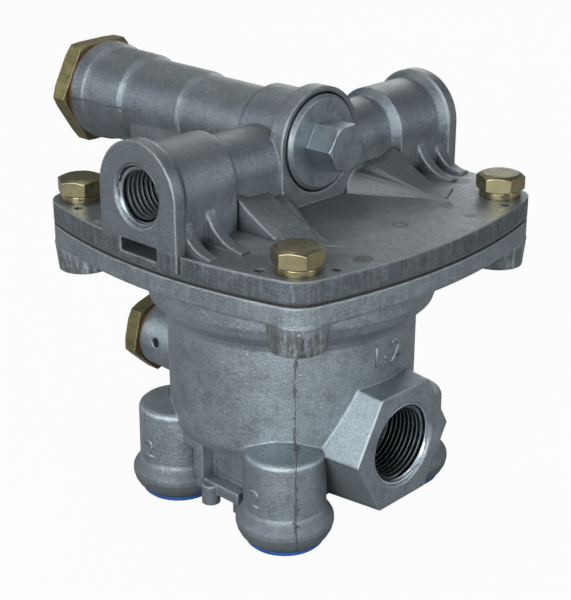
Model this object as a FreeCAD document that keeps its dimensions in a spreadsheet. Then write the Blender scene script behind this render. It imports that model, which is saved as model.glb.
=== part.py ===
import FreeCAD, Part
import math
import os
import Sketcher
from FreeCAD import Placement, Rotation, Vector

# Air brake relay valve: a cover casting with a cross cylinder and two control
# ports, bolted with four corner bolts to a lower casting with the supply port on
# one side and four delivery ports underneath.  The origin is the centre of the
# joint between the two castings, Z is up, X runs along the cross cylinder.

doc = FreeCAD.newDocument("relay_valve")
sheet = doc.addObject("Spreadsheet::Sheet", "sizes")

AXIS_TURN = {
    "+z": Rotation(),
    "-z": Rotation(Vector(1, 0, 0), 180),
    "+x": Rotation(Vector(0, 1, 0), 90),
    "-x": Rotation(Vector(0, 1, 0), -90),
    "+y": Rotation(Vector(1, 0, 0), -90),
    "-y": Rotation(Vector(1, 0, 0), 90),
}
OUTPUT_FOLDER = "parts"
NODES = []
ROW_COUNT = [0]
NAME_COUNT = {}


class Size:
    """A length together with the sheet expression that gives it."""

    def __init__(self, value, text):
        self.value = float(value)
        self.text = text

    def join(self, other, sign, value):
        other = as_size(other)
        return Size(value, "(" + self.text + " " + sign + " " + other.text + ")")

    def __add__(self, other):
        return self.join(other, "+", self.value + as_size(other).value)

    def __sub__(self, other):
        return self.join(other, "-", self.value - as_size(other).value)

    def __mul__(self, other):
        return self.join(other, "*", self.value * as_size(other).value)

    def __truediv__(self, other):
        return self.join(other, "/", self.value / as_size(other).value)

    def __neg__(self):
        return Size(-self.value, "(0 - " + self.text + ")")


def as_size(value):
    if isinstance(value, Size):
        return value
    return Size(value, "(" + repr(float(value)) + ")")


def size(name, value):
    """Put one driving size in the sheet and return it."""
    ROW_COUNT[0] += 1
    row = str(ROW_COUNT[0])
    sheet.set("A" + row, name)
    sheet.set("B" + row, str(value))
    sheet.setAlias("B" + row, name)
    return Size(value, "sizes." + name)


def free_name(name):
    NAME_COUNT[name] = NAME_COUNT.get(name, 0) + 1
    return name if NAME_COUNT[name] == 1 else name + "_" + str(NAME_COUNT[name])


def bind(thing, prop, value):
    thing.setExpression(prop, as_size(value).text)


def put(thing, x, y, z, turn=None):
    """Place an object, its position following the sheet."""
    spots = [as_size(x), as_size(y), as_size(z)]
    base = Vector(*[spot.value for spot in spots])
    thing.Placement = Placement(base, turn if turn else Rotation())
    for letter, spot in zip("xyz", spots):
        bind(thing, "Placement.Base." + letter, spot)
    return thing


def rod(name, radius, length, x, y, z, way="+z"):
    """A cylinder that starts at x, y, z and runs the given way."""
    thing = doc.addObject("Part::Cylinder", free_name(name))
    bind(thing, "Radius", radius)
    bind(thing, "Height", length)
    return put(thing, x, y, z, AXIS_TURN[way])


def taper(name, start_radius, end_radius, length, x, y, z, way="+z"):
    """A cone frustum that starts at x, y, z and runs the given way."""
    thing = doc.addObject("Part::Cone", free_name(name))
    bind(thing, "Radius1", start_radius)
    bind(thing, "Radius2", end_radius)
    bind(thing, "Height", length)
    return put(thing, x, y, z, AXIS_TURN[way])


def block(name, x0, x1, y0, y1, z0, z1):
    """A box between two corners."""
    thing = doc.addObject("Part::Box", free_name(name))
    bind(thing, "Length", as_size(x1) - x0)
    bind(thing, "Width", as_size(y1) - y0)
    bind(thing, "Height", as_size(z1) - z0)
    return put(thing, x0, y0, z0)


def fuse(name, things):
    thing = doc.addObject("Part::MultiFuse", free_name(name))
    thing.Shapes = things
    return thing


def cut(name, base, tool):
    thing = doc.addObject("Part::Cut", free_name(name))
    thing.Base = base
    thing.Tool = tool
    return thing


def common(name, things):
    thing = doc.addObject("Part::MultiCommon", free_name(name))
    thing.Shapes = things
    return thing


def polygon(name, sides, circle_radius, x, y, z, way, spin):
    thing = doc.addObject("Part::RegularPolygon", free_name(name))
    thing.Polygon = sides
    bind(thing, "Circumradius", circle_radius)
    return put(thing, x, y, z, AXIS_TURN[way] * Rotation(Vector(0, 0, 1), spin))


def hex_bar(name, circle_radius, length, x, y, z, way, spin=0):
    thing = doc.addObject("Part::Prism", free_name(name))
    thing.Polygon = 6
    bind(thing, "Circumradius", circle_radius)
    bind(thing, "Height", length)
    return put(thing, x, y, z, AXIS_TURN[way] * Rotation(Vector(0, 0, 1), spin))


def turned(name, profile, x, y, z, way="+z"):
    """A turned body from (radius, height) points, on the given axis."""
    body = doc.addObject("PartDesign::Body", free_name(name))
    sketch = body.newObject("Sketcher::SketchObject", free_name(name + "_profile"))
    plane = [item for item in body.Origin.OriginFeatures if item.Role == "XZ_Plane"][0]
    sketch.AttachmentSupport = [(plane, "")]
    sketch.MapMode = "FlatFace"
    points = [(as_size(r), as_size(h)) for r, h in profile]
    count = len(points)
    for index in range(count):
        first = points[index]
        last = points[(index + 1) % count]
        start = Vector(first[0].value, first[1].value, 0)
        end = Vector(last[0].value, last[1].value, 0)
        sketch.addGeometry(Part.LineSegment(start, end), False)
    for index in range(count):
        sketch.addConstraint(Sketcher.Constraint("Coincident", index, 2, (index + 1) % count, 1))
    for index, (radius, height) in enumerate(points):
        for kind, value, line in (("DistanceX", radius, -2), ("DistanceY", height, -1)):
            if abs(value.value) < 1e-9:
                sketch.addConstraint(Sketcher.Constraint("PointOnObject", index, 1, line))
            else:
                rule = Sketcher.Constraint(kind, -1, 1, index, 1, value.value)
                spot = sketch.addConstraint(rule)
                sketch.setExpression("Constraints[" + str(spot) + "]", value.text)
    spin = body.newObject("PartDesign::Revolution", free_name(name + "_turn"))
    spin.Profile = sketch
    spin.ReferenceAxis = (sketch, ["V_Axis"])
    spin.Angle = 360
    body.Tip = spin
    return put(body, x, y, z, AXIS_TURN[way])


def ring(name, inner, outer, length, x, y, z, way="+z"):
    """A flat ring, turned."""
    points = [(inner, 0), (outer, 0), (outer, length), (inner, length)]
    return turned(name, points, x, y, z, way)


def torus(name, ring_radius, wire_radius, x, y, z, way="+z"):
    """A sealing ring with an eight-sided section, centred on the given point."""
    middle = as_size(ring_radius)
    wire = as_size(wire_radius)
    flat = wire * 0.4142
    points = [
        (middle - flat, 0),
        (middle + flat, 0),
        (middle + wire, wire - flat),
        (middle + wire, wire + flat),
        (middle + flat, wire * 2),
        (middle - flat, wire * 2),
        (middle - wire, wire + flat),
        (middle - wire, wire - flat),
    ]
    along = AXIS_WAY[way]
    return turned(name, points, as_size(x) - wire * along[0], as_size(y) - wire * along[1],
                  as_size(z) - wire * along[2], way)


def coil(name, coil_radius, wire_radius, length, turns, x, y, z, way="+z"):
    """A compression spring, lofted through eight-sided sections along its turns."""
    radius = as_size(coil_radius).value
    wire = as_size(wire_radius).value
    rise = as_size(length).value - wire * 2
    steps = COIL_STEPS * turns
    sections = []
    for step in range(steps + 1):
        turn = 2 * math.pi * step / COIL_STEPS
        height = wire + rise * step / steps
        corners = []
        for corner in range(COIL_SIDES + 1):
            around = 2 * math.pi * (corner % COIL_SIDES) / COIL_SIDES
            reach = radius + wire * math.cos(around)
            corners.append(Vector(reach * math.cos(turn), reach * math.sin(turn),
                                  height + wire * math.sin(around)))
        sections.append(Part.makePolygon(corners))
    thing = doc.addObject("Part::Feature", free_name(name))
    thing.Shape = Part.makeLoft(sections, True, True)
    return put(thing, x, y, z, AXIS_TURN[way])


def node(name, thing):
    """Label a finished piece, move it from the joint's middle to the base's, and keep it for the output."""
    thing.Label = name
    for axis, shift in (("x", base_shift_x), ("z", base_shift_z)):
        path = "Placement.Base." + axis
        rules = [rule for place, rule in thing.ExpressionEngine if place.strip(".") == path]
        start = rules[0] if rules else repr(getattr(thing.Placement.Base, axis))
        thing.setExpression(path, start + " + (" + shift.text + ")")
    NODES.append(thing)
    return thing


# Joint and flanges
gasket_height = size("gasket_height", 0.9)
gasket_inset = size("gasket_inset", 0.5)
side_reach = size("side_reach", 56.0)
side_bow_radius = size("side_bow_radius", 160.0)
corner_radius = size("corner_radius", 9.0)
upper_flange_height = size("upper_flange_height", 5.9)
lower_flange_height = size("lower_flange_height", 5.4)
deck_rise = size("deck_rise", 1.1)
deck_radius = size("deck_radius", 42.0)
bolt_spacing = size("bolt_spacing", 41.9)

# Lower casting
bowl_radius = size("bowl_radius", 42.3)
bowl_depth = size("bowl_depth", 20.0)
body_radius = size("body_radius", 36.2)
body_depth = size("body_depth", 61.8)
corner_boss_radius = size("corner_boss_radius", 8.3)
corner_boss_tip = size("corner_boss_tip", 7.5)
corner_boss_depth = size("corner_boss_depth", 13.9)
supply_axis_depth = size("supply_axis_depth", 57.1)
supply_face = size("supply_face", 43.4)
supply_hex_radius = size("supply_hex_radius", 19.7)
supply_draft = size("supply_draft", 1.6)
supply_root = size("supply_root", 24.0)
supply_thread = size("supply_thread", 12.0)
supply_lead = size("supply_lead", 12.65)
supply_bore_end = size("supply_bore_end", 27.0)
supply_duct = size("supply_duct", 9.0)
side_axis_depth = size("side_axis_depth", 52.0)
side_boss_radius = size("side_boss_radius", 10.9)
side_boss_face = size("side_boss_face", 56.5)
side_thread = size("side_thread", 8.0)
side_thread_end = size("side_thread_end", 36.5)
side_duct = size("side_duct", 4.6)
delivery_x = size("delivery_x", 22.0)
delivery_y = size("delivery_y", 26.0)
delivery_boss_radius = size("delivery_boss_radius", 11.6)
delivery_rim_radius = size("delivery_rim_radius", 14.0)
delivery_bottom = size("delivery_bottom", 82.5)
delivery_rim_height = size("delivery_rim_height", 6.0)
delivery_top = size("delivery_top", 53.2)
delivery_thread = size("delivery_thread", 8.0)
delivery_lead = size("delivery_lead", 9.0)
delivery_thread_depth = size("delivery_thread_depth", 14.0)
delivery_duct = size("delivery_duct", 4.2)
web_thickness = size("web_thickness", 6.0)
web_bottom = size("web_bottom", 75.5)
neck_radius = size("neck_radius", 16.0)
neck_bottom = size("neck_bottom", 78.0)

# Inside of the lower casting
piston_bore = size("piston_bore", 37.25)
piston_bore_depth = size("piston_bore_depth", 19.0)
delivery_chamber = size("delivery_chamber", 30.5)
seat_web_top = size("seat_web_top", 38.0)
seat_web_bottom = size("seat_web_bottom", 41.5)
seat_radius = size("seat_radius", 9.6)
seat_lip = size("seat_lip", 1.0)
supply_chamber = size("supply_chamber", 19.5)
supply_chamber_bottom = size("supply_chamber_bottom", 60.0)
guide_bore = size("guide_bore", 12.5)

# Upper casting
cross_height = size("cross_height", 24.3)
cross_end = size("cross_end", 79.5)
cross_step_one = size("cross_step_one", 74.0)
cross_step_two = size("cross_step_two", 58.5)
cross_step_three = size("cross_step_three", 34.0)
cross_step_four = size("cross_step_four", 8.0)
cross_radius_one = size("cross_radius_one", 15.3)
cross_radius_two = size("cross_radius_two", 14.2)
cross_radius_three = size("cross_radius_three", 12.8)
cross_radius_four = size("cross_radius_four", 11.7)
cross_radius_five = size("cross_radius_five", 13.3)
cross_draft = size("cross_draft", 0.3)
cross_wall_start = size("cross_wall_start", 55.0)
plate_back = size("plate_back", 6.3)
plate_front = size("plate_front", 11.0)
plate_radius = size("plate_radius", 15.4)
port_height = size("port_height", 19.6)
pad_face = size("pad_face", 57.0)
pad_radius = size("pad_radius", 14.4)
pad_thickness = size("pad_thickness", 3.6)
pad_flare = size("pad_flare", 3.0)
pad_bottom = size("pad_bottom", 2.0)
boss_radius = size("boss_radius", 12.3)
boss_step = size("boss_step", 33.5)
boss_small_radius = size("boss_small_radius", 10.2)
port_thread = size("port_thread", 8.0)
port_lead = size("port_lead", 8.8)
port_thread_end = size("port_thread_end", 42.0)
port_duct = size("port_duct", 3.5)
slot_width = size("slot_width", 14.2)
slot_height = size("slot_height", 3.7)
slot_depth = size("slot_depth", 7.0)
slot_middle = size("slot_middle", 5.4)
control_chamber = size("control_chamber", 35.0)
control_chamber_top = size("control_chamber_top", 3.4)

# Cross bore
spool_bore = size("spool_bore", 8.3)
spring_bore = size("spring_bore", 10.4)
spring_bore_start = size("spring_bore_start", 50.0)
cap_thread = size("cap_thread", 11.5)
cap_thread_end = size("cap_thread_end", 68.5)
plug_thread = size("plug_thread", 10.0)
plug_thread_start = size("plug_thread_start", 5.2)
plug_recess_radius = size("plug_recess_radius", 13.95)
plug_recess_floor = size("plug_recess_floor", 8.3)

# Bolts
bolt_thread = size("bolt_thread", 4.0)
bolt_clearance = size("bolt_clearance", 4.5)
bolt_head_flats = size("bolt_head_flats", 12.0)
bolt_head_height = size("bolt_head_height", 4.8)
bolt_length = size("bolt_length", 17.0)
washer_radius = size("washer_radius", 5.9)
washer_height = size("washer_height", 1.8)

cap_flats = size("cap_flats", 30.0)
cap_height = size("cap_height", 6.0)
cap_seal_height = size("cap_seal_height", 0.8)
dust_flange_height = size("dust_flange_height", 1.6)
base_shift_x = (cross_end + cap_seal_height + cap_height - side_reach) / 2
base_shift_z = delivery_bottom + dust_flange_height
half_gap = gasket_height / 2
upper_top = half_gap + upper_flange_height
lower_top = -half_gap
lower_flange_bottom = lower_top - lower_flange_height
deck_top = upper_top + deck_rise
hex_ratio = 1 / math.cos(math.radians(30))
AXIS_WAY = {
    "+x": (1, 0, 0),
    "-x": (-1, 0, 0),
    "+y": (0, 1, 0),
    "-y": (0, -1, 0),
    "+z": (0, 0, 1),
    "-z": (0, 0, -1),
}
COIL_STEPS = 14
COIL_SIDES = 8
CORNERS = [(-1, -1), (1, -1), (1, 1), (-1, 1)]


def outline(name, z, height, inset):
    """The rounded square with bowed sides that both flanges share."""
    reach = side_bow_radius - side_reach
    sides = []
    for way_x, way_y in ((1, 0), (-1, 0), (0, 1), (0, -1)):
        sides.append(rod(name + "_side", side_bow_radius - inset, height,
                         reach * -way_x, reach * -way_y, z))
    square = common(name + "_square", sides)
    doc.recompute()
    upright = []
    for index, edge in enumerate(square.Shape.Edges):
        first, last = edge.Vertexes[0].Point, edge.Vertexes[-1].Point
        if abs(first.z - last.z) > as_size(height).value * 0.9:
            upright.append((index + 1, corner_radius.value, corner_radius.value))
    rounded = doc.addObject("Part::Fillet", free_name(name))
    rounded.Base = square
    rounded.Edges = upright
    return rounded


def arch(name, radius, start, length, bottom, axis_height, plane_role="XZ_Plane"):
    """A round-topped wall: along -Y from start on the XZ plane, along +X on the YZ plane."""
    radius = as_size(radius)
    bottom = as_size(bottom)
    axis_height = as_size(axis_height)
    body = doc.addObject("PartDesign::Body", free_name(name))
    sketch = body.newObject("Sketcher::SketchObject", free_name(name + "_profile"))
    plane = [item for item in body.Origin.OriginFeatures if item.Role == plane_role][0]
    sketch.AttachmentSupport = [(plane, "")]
    sketch.MapMode = "FlatFace"
    r, low, high = radius.value, bottom.value, axis_height.value
    circle = Part.Circle(Vector(0, high, 0), Vector(0, 0, 1), r)
    sketch.addGeometry(Part.LineSegment(Vector(-r, low, 0), Vector(r, low, 0)), False)
    sketch.addGeometry(Part.LineSegment(Vector(r, low, 0), Vector(r, high, 0)), False)
    sketch.addGeometry(Part.ArcOfCircle(circle, 0, math.pi), False)
    sketch.addGeometry(Part.LineSegment(Vector(-r, high, 0), Vector(-r, low, 0)), False)
    for rule in (("Coincident", 0, 2, 1, 1), ("Coincident", 1, 2, 2, 1), ("Coincident", 2, 2, 3, 1),
                 ("Coincident", 3, 2, 0, 1), ("Horizontal", 0), ("Vertical", 1), ("Vertical", 3),
                 ("PointOnObject", 2, 3, -2), ("Horizontal", 2, 3, 1, 2), ("Horizontal", 2, 3, 3, 1)):
        sketch.addConstraint(Sketcher.Constraint(*rule))
    for rule, value in ((("Radius", 2, r), radius), (("DistanceY", -1, 1, 2, 3, high), axis_height),
                        (("DistanceY", -1, 1, 0, 1, low), bottom)):
        spot = sketch.addConstraint(Sketcher.Constraint(*rule))
        sketch.setExpression("Constraints[" + str(spot) + "]", value.text)
    pad = body.newObject("PartDesign::Pad", free_name(name + "_pad"))
    pad.Profile = sketch
    bind(pad, "Length", length)
    body.Tip = pad
    if plane_role == "XZ_Plane":
        return put(body, 0, start, 0)
    return put(body, start, 0, 0)


def gusset(name, x, y, z, reach, rise, thickness, spin):
    """A hollow-backed triangular rib: reach along the floor, rise up the wall."""
    body = block(name + "_block", 0, reach, thickness * -0.5, thickness * 0.5, -2, rise)
    radius = (reach * reach + rise * rise) / (rise * 2)
    hollow = rod(name + "_hollow", radius, thickness * 4, reach, thickness * -2, radius, "+y")
    rib = cut(name, body, hollow)
    return put(rib, x, y, z, Rotation(Vector(0, 0, 1), spin))


def sloped_rib(name, x, y, z, reach, start_rise, end_rise, half_width, spin):
    """A rib with a flat top that slopes down along its length."""
    points = [(0, -2), (reach, -2), (reach, end_rise), (0, start_rise)]
    body = doc.addObject("PartDesign::Body", free_name(name))
    sketch = body.newObject("Sketcher::SketchObject", free_name(name + "_side"))
    plane = [item for item in body.Origin.OriginFeatures if item.Role == "XZ_Plane"][0]
    sketch.AttachmentSupport = [(plane, "")]
    sketch.MapMode = "FlatFace"
    corners = [Vector(as_size(a).value, as_size(b).value, 0) for a, b in points]
    for index in range(4):
        sketch.addGeometry(Part.LineSegment(corners[index], corners[(index + 1) % 4]), False)
    for index in range(4):
        sketch.addConstraint(Sketcher.Constraint("Coincident", index, 2, (index + 1) % 4, 1))
    for index, (along, up) in enumerate(points):
        for kind, value, line in (("DistanceX", as_size(along), -2), ("DistanceY", as_size(up), -1)):
            if abs(value.value) < 1e-9:
                sketch.addConstraint(Sketcher.Constraint("PointOnObject", index, 1, line))
            else:
                rule = Sketcher.Constraint(kind, -1, 1, index, 1, value.value)
                spot = sketch.addConstraint(rule)
                sketch.setExpression("Constraints[" + str(spot) + "]", value.text)
    pad = body.newObject("PartDesign::Pad", free_name(name + "_pad"))
    pad.Profile = sketch
    pad.Midplane = True
    bind(pad, "Length", as_size(half_width) * 2)
    body.Tip = pad
    return put(body, x, y, z, Rotation(Vector(0, 0, 1), spin))


def ramp(name, start, end, floor, start_section, end_section):
    """A sloping rib between two spots, each section given as half top, half base and rise."""
    way = Vector(end[0] - start[0], end[1] - start[1], 0).normalize()
    side = Vector(-way.y, way.x, 0)
    base = as_size(floor).value
    wires = []
    for spot, (top, foot, rise) in ((start, start_section), (end, end_section)):
        middle = Vector(spot[0], spot[1], base)
        up = Vector(0, 0, rise)
        soft = Vector(0, 0, rise * 0.86)
        wide = top + (foot - top) * 0.25
        corners = [
            middle - side * foot,
            middle - side * wide + soft,
            middle - side * top + up,
            middle + side * top + up,
            middle + side * wide + soft,
            middle + side * foot,
        ]
        wires.append(Part.makePolygon(corners + corners[:1]))
    thing = doc.addObject("Part::Feature", free_name(name))
    thing.Shape = Part.makeLoft(wires, True, True)
    return thing


# Lower housing
lower_parts = [outline("lower_flange", lower_flange_bottom, lower_flange_height, 0)]
bowl_top = lower_flange_bottom + 1
lower_parts.append(turned("lower_shell", [
    (0, 0),
    (body_radius - 3.6, 0),
    (body_radius - 1.3, 1.4),
    (body_radius, 4.2),
    (body_radius + 0.2, body_depth - bowl_depth - 6.0),
    (body_radius + 0.9, body_depth - bowl_depth - 4.2),
    (bowl_radius - 3.2, body_depth - bowl_depth - 2.6),
    (bowl_radius - 1.0, body_depth - bowl_depth - 0.4),
    (bowl_radius - 0.2, body_depth - bowl_depth + 2.4),
    (bowl_radius, body_depth + bowl_top),
    (0, body_depth + bowl_top),
], 0, 0, -body_depth))
for way_x, way_y in CORNERS:
    lower_parts.append(taper("corner_boss", corner_boss_radius, corner_boss_tip,
                             corner_boss_depth + lower_flange_bottom,
                             bolt_spacing * way_x, bolt_spacing * way_y, lower_flange_bottom, "-z"))
hex_root = polygon("supply_hex_root", 6, supply_hex_radius + supply_draft,
                   supply_root, 0, -supply_axis_depth, "+x", 90)
hex_face = polygon("supply_hex_face", 6, supply_hex_radius,
                   supply_face, 0, -supply_axis_depth, "+x", 90)
supply_boss = doc.addObject("Part::Loft", free_name("supply_boss"))
supply_boss.Sections = [hex_root, hex_face]
supply_boss.Solid = True
supply_boss.Ruled = True
lower_parts.append(supply_boss)
lower_parts.append(taper("side_boss", side_boss_radius + 0.5, side_boss_radius,
                         side_boss_face - 28, -28, 0, -side_axis_depth, "-x"))
boss_height = delivery_bottom - delivery_top
for way_x, way_y in CORNERS:
    lower_parts.append(turned("delivery_boss", [
        (0, 0),
        (delivery_rim_radius - 2.5, 0),
        (delivery_rim_radius - 1.3, 1.2),
        (delivery_rim_radius - 0.45, 2.8),
        (delivery_rim_radius, 4.6),
        (delivery_rim_radius - 0.1, delivery_rim_height),
        (delivery_rim_radius - 0.6, delivery_rim_height + 0.9),
        (delivery_boss_radius + 0.7, delivery_rim_height + 2.2),
        (delivery_boss_radius + 0.15, delivery_rim_height + 4.0),
        (delivery_boss_radius, boss_height - 3.9),
        (delivery_boss_radius - 0.35, boss_height - 3.1),
        (delivery_boss_radius - 1.2, boss_height - 2.4),
        (delivery_boss_radius - 4.5, boss_height - 1.1),
        (delivery_boss_radius - 8.0, boss_height),
        (0, boss_height),
    ], delivery_x * way_x, delivery_y * way_y, -delivery_bottom))
web_top = -body_depth + 3
for way in (-1, 1):
    lower_parts.append(block("long_web", -delivery_x, delivery_x,
                             delivery_y * way - web_thickness / 2, delivery_y * way + web_thickness / 2,
                             -web_bottom, web_top))
    lower_parts.append(block("cross_web", delivery_x * way - web_thickness / 2,
                             delivery_x * way + web_thickness / 2, -delivery_y, delivery_y,
                             -web_bottom, web_top))
    middle = (delivery_y + 1.5) * way
    lower_parts.append(block("web_ledge", -6.6, 10.4, middle - 5.6, middle + 5.6,
                             -web_bottom - 0.4, -72.5))
    lower_parts.append(block("web_pillar", -7.4, -3.6, middle - 6.1, middle + 6.1, -72.5, web_top - 0.7))
    lower_parts.append(rod("web_stub", 2.7, 6.0, -1.0, (delivery_y + 6.9) * way, -79.0))
    lower_parts.append(block("web_bridge", -14.0, -5.4, middle - 5.4, middle + 5.4, -64.5, web_top + 1.3))
    lower_parts.append(block("foot_lug", 6.3, 9.8, (delivery_y + 2.3) * way - 2.9,
                             (delivery_y + 2.3) * way + 2.9, -80.5, -73.5))
lower_parts.append(taper("exhaust_neck", neck_radius + 2.0, neck_radius,
                         neck_bottom - body_depth + 2, 0, 0, -body_depth + 2, "-z"))
lower_solid = fuse("lower_solid", lower_parts)

lower_cuts = []
lower_cuts.append(rod("piston_bore_cut", piston_bore, piston_bore_depth + 1, 0, 0, 1, "-z"))
lower_cuts.append(rod("delivery_chamber_cut", delivery_chamber, seat_web_top, 0, 0, 0, "-z"))
lower_cuts.append(rod("seat_cut", seat_radius, seat_web_bottom + 2, 0, 0, 0, "-z"))
lower_cuts.append(turned("supply_chamber_cut", [
    (0, 0),
    (supply_chamber, 0),
    (supply_chamber, supply_chamber_bottom - seat_web_bottom),
    (seat_radius + 1.8, supply_chamber_bottom - seat_web_bottom),
    (seat_radius + 1.2, supply_chamber_bottom - seat_web_bottom - seat_lip),
    (0, supply_chamber_bottom - seat_web_bottom - seat_lip),
], 0, 0, -supply_chamber_bottom))
lower_cuts.append(rod("guide_bore_cut", guide_bore, 30, 0, 0, -supply_chamber_bottom + 1, "-z"))
for way_x, way_y in CORNERS:
    lower_cuts.append(rod("delivery_duct_cut", delivery_duct, 34.0,
                          (delivery_x - 4.2) * way_x, (delivery_y - 4.8) * way_y, -seat_web_top + 1, "-z"))
    lower_cuts.append(rod("delivery_thread_cut", delivery_thread, delivery_thread_depth,
                          delivery_x * way_x, delivery_y * way_y, -delivery_bottom))
    lower_cuts.append(taper("delivery_lead_cut", delivery_lead + 0.5, delivery_thread - 0.5,
                            delivery_lead - delivery_thread + 1.0,
                            delivery_x * way_x, delivery_y * way_y, -delivery_bottom - 0.5))
    lower_cuts.append(rod("corner_thread_cut", bolt_thread, 11.5,
                          bolt_spacing * way_x, bolt_spacing * way_y, 0, "-z"))
lower_cuts.append(rod("supply_thread_cut", supply_thread, supply_face - supply_bore_end + 1,
                      supply_face + 1, 0, -supply_axis_depth, "-x"))
lower_cuts.append(taper("supply_lead_cut", supply_lead + 0.5, supply_thread - 0.5,
                        supply_lead - supply_thread + 1.0, supply_face + 0.5, 0, -supply_axis_depth, "-x"))
lower_cuts.append(rod("supply_duct_cut", supply_duct, 20, supply_bore_end + 1, 0,
                      -supply_axis_depth, "-x"))
lower_cuts.append(rod("side_thread_cut", side_thread, side_boss_face - side_thread_end + 1,
                      -side_boss_face - 1, 0, -side_axis_depth, "+x"))
lower_cuts.append(rod("side_duct_cut", side_duct, 25, -side_thread_end - 1, 0, -side_axis_depth, "+x"))
lower_cuts.append(rod("side_vent_cut", 1.6, 9, -side_boss_face + 7.5, -13, -side_axis_depth + 1.5, "+y"))
node("lower_housing", cut("lower_housing_body", lower_solid, fuse("lower_hollows", lower_cuts)))

# Upper housing
upper_parts = [outline("upper_flange", half_gap, upper_flange_height, 0)]
upper_parts.append(taper("deck", deck_radius + 7, deck_radius, deck_rise, 0, 0, upper_top))
wall_bottom = half_gap + 0.5
cross_base = -cross_end
cross_profile = [(0, 0), (cross_radius_one - 0.5, 0), (cross_radius_one, 0.5)]
cross_steps = [
    (cross_step_one, cross_radius_one, cross_radius_two),
    (cross_step_two, cross_radius_two, cross_radius_three),
    (cross_step_three, cross_radius_three, cross_radius_four),
]
for step, before, after in cross_steps:
    along = cross_end - step
    high = before - cross_draft
    cross_profile.append((high, along - 0.9))
    cross_profile.append((high - 0.15, along - 0.4))
    cross_profile.append((high - 0.45, along))
    cross_profile.append((after + 0.25, along + 0.7))
    cross_profile.append((after + 0.08, along + 1.3))
    cross_profile.append((after, along + 2.2))
cross_profile += [
    (cross_radius_four - cross_draft, cross_end - cross_step_four - 2.0),
    (cross_radius_four + 0.2, cross_end - cross_step_four - 0.9),
    (cross_radius_five - 0.5, cross_end - cross_step_four - 0.3),
    (cross_radius_five, cross_end - cross_step_four + 0.6),
    (cross_radius_five, cross_end + plate_back + 1.0),
    (0, cross_end + plate_back + 1.0),
]
upper_parts.append(turned("cross_cylinder", cross_profile, cross_base, 0, cross_height, "+x"))
upper_parts.append(block("cross_wall", -cross_wall_start, -cross_step_three + 0.5,
                         -cross_radius_three + 0.7, cross_radius_three - 0.7, wall_bottom, cross_height))
upper_parts.append(block("cross_wall", -cross_step_three, -cross_step_four + 0.5,
                         -cross_radius_four + 0.7, cross_radius_four - 0.7, wall_bottom, cross_height))
upper_parts.append(block("cross_wall", -cross_step_four, plate_back + 0.5,
                         -cross_radius_five + 0.3, cross_radius_five - 0.3, wall_bottom, cross_height))
upper_parts.append(arch("plate", plate_radius, plate_back, plate_front - plate_back,
                        wall_bottom, cross_height, "YZ_Plane"))
for way in (-1, 1):
    inner = pad_face - pad_thickness
    if way > 0:
        upper_parts.append(arch("pad", pad_radius, pad_face, pad_thickness, pad_bottom, port_height))
        upper_parts.append(arch("port_boss", boss_radius, inner + 0.5, inner - boss_step + 0.5,
                                wall_bottom, port_height))
        upper_parts.append(arch("port_neck", boss_small_radius, boss_step + 1, boss_step + 1,
                                wall_bottom, port_height))
    else:
        upper_parts.append(arch("pad", pad_radius, -inner, pad_thickness, pad_bottom, port_height))
        upper_parts.append(arch("port_boss", boss_radius, -boss_step, inner - boss_step + 0.5,
                                wall_bottom, port_height))
        upper_parts.append(arch("port_neck", boss_small_radius, 0, boss_step + 1,
                                wall_bottom, port_height))
    shoulder_way = "+y" if way < 0 else "-y"
    upper_parts.append(taper("pad_shoulder", pad_radius - 0.4, boss_radius - 0.3, pad_flare,
                             0, (inner + 0.2) * way, port_height, shoulder_way))
    upper_parts.append(taper("boss_shoulder", boss_radius - 0.1, boss_small_radius - 0.3, 2.4,
                             0, (boss_step + 0.1) * way, port_height, shoulder_way))
    for spot, reach, rise in ((boss_step + 9.5, 13.5, 12.0), (boss_step + 18.0, 11.0, 11.0)):
        upper_parts.append(gusset("rib_out", boss_radius - 1, spot * way, deck_top - 0.4,
                                  as_size(reach), as_size(rise), as_size(3.2), 0))
        upper_parts.append(gusset("rib_in", -boss_radius + 1, spot * way, deck_top - 0.4,
                                  as_size(reach), as_size(rise), as_size(3.2), 180))
    upper_parts.append(ramp("corner_ramp", (8.0, 17.5 * way), (33.0, 30.0 * way), deck_top - 1.5,
                            (4.4, 9.0, 7.2), (4.2, 7.0, 1.8)))
    upper_parts.append(ramp("rear_ramp", (-9.0, 22.0 * way), (-31.0, 32.0 * way), deck_top - 1.5,
                            (3.4, 7.0, 6.2), (3.2, 5.5, 1.8)))
upper_solid = fuse("upper_solid", upper_parts)

upper_cuts = []
upper_cuts.append(turned("control_chamber_cut", [
    (0, 0),
    (control_chamber, 0),
    (control_chamber - 2.0, control_chamber_top),
    (0, control_chamber_top),
], 0, 0, 0))
upper_cuts.append(rod("spool_bore_cut", spool_bore, spring_bore_start + 1, -spring_bore_start - 1, 0,
                      cross_height, "+x"))
upper_cuts.append(rod("spring_bore_cut", spring_bore, cross_end - spring_bore_start,
                      -cross_end, 0, cross_height, "+x"))
upper_cuts.append(rod("cap_thread_cut", cap_thread, cross_end - cap_thread_end + 1,
                      -cross_end - 1, 0, cross_height, "+x"))
upper_cuts.append(rod("plug_thread_cut", plug_thread, plug_recess_floor + plug_thread_start,
                      -plug_thread_start, 0, cross_height, "+x"))
upper_cuts.append(rod("plug_recess_cut", plug_recess_radius, plate_front - plug_recess_floor + 1,
                      plug_recess_floor, 0, cross_height, "+x"))
upper_cuts.append(rod("control_duct_cut", 3.0, cross_height, -20, 0, 1.0))
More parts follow.
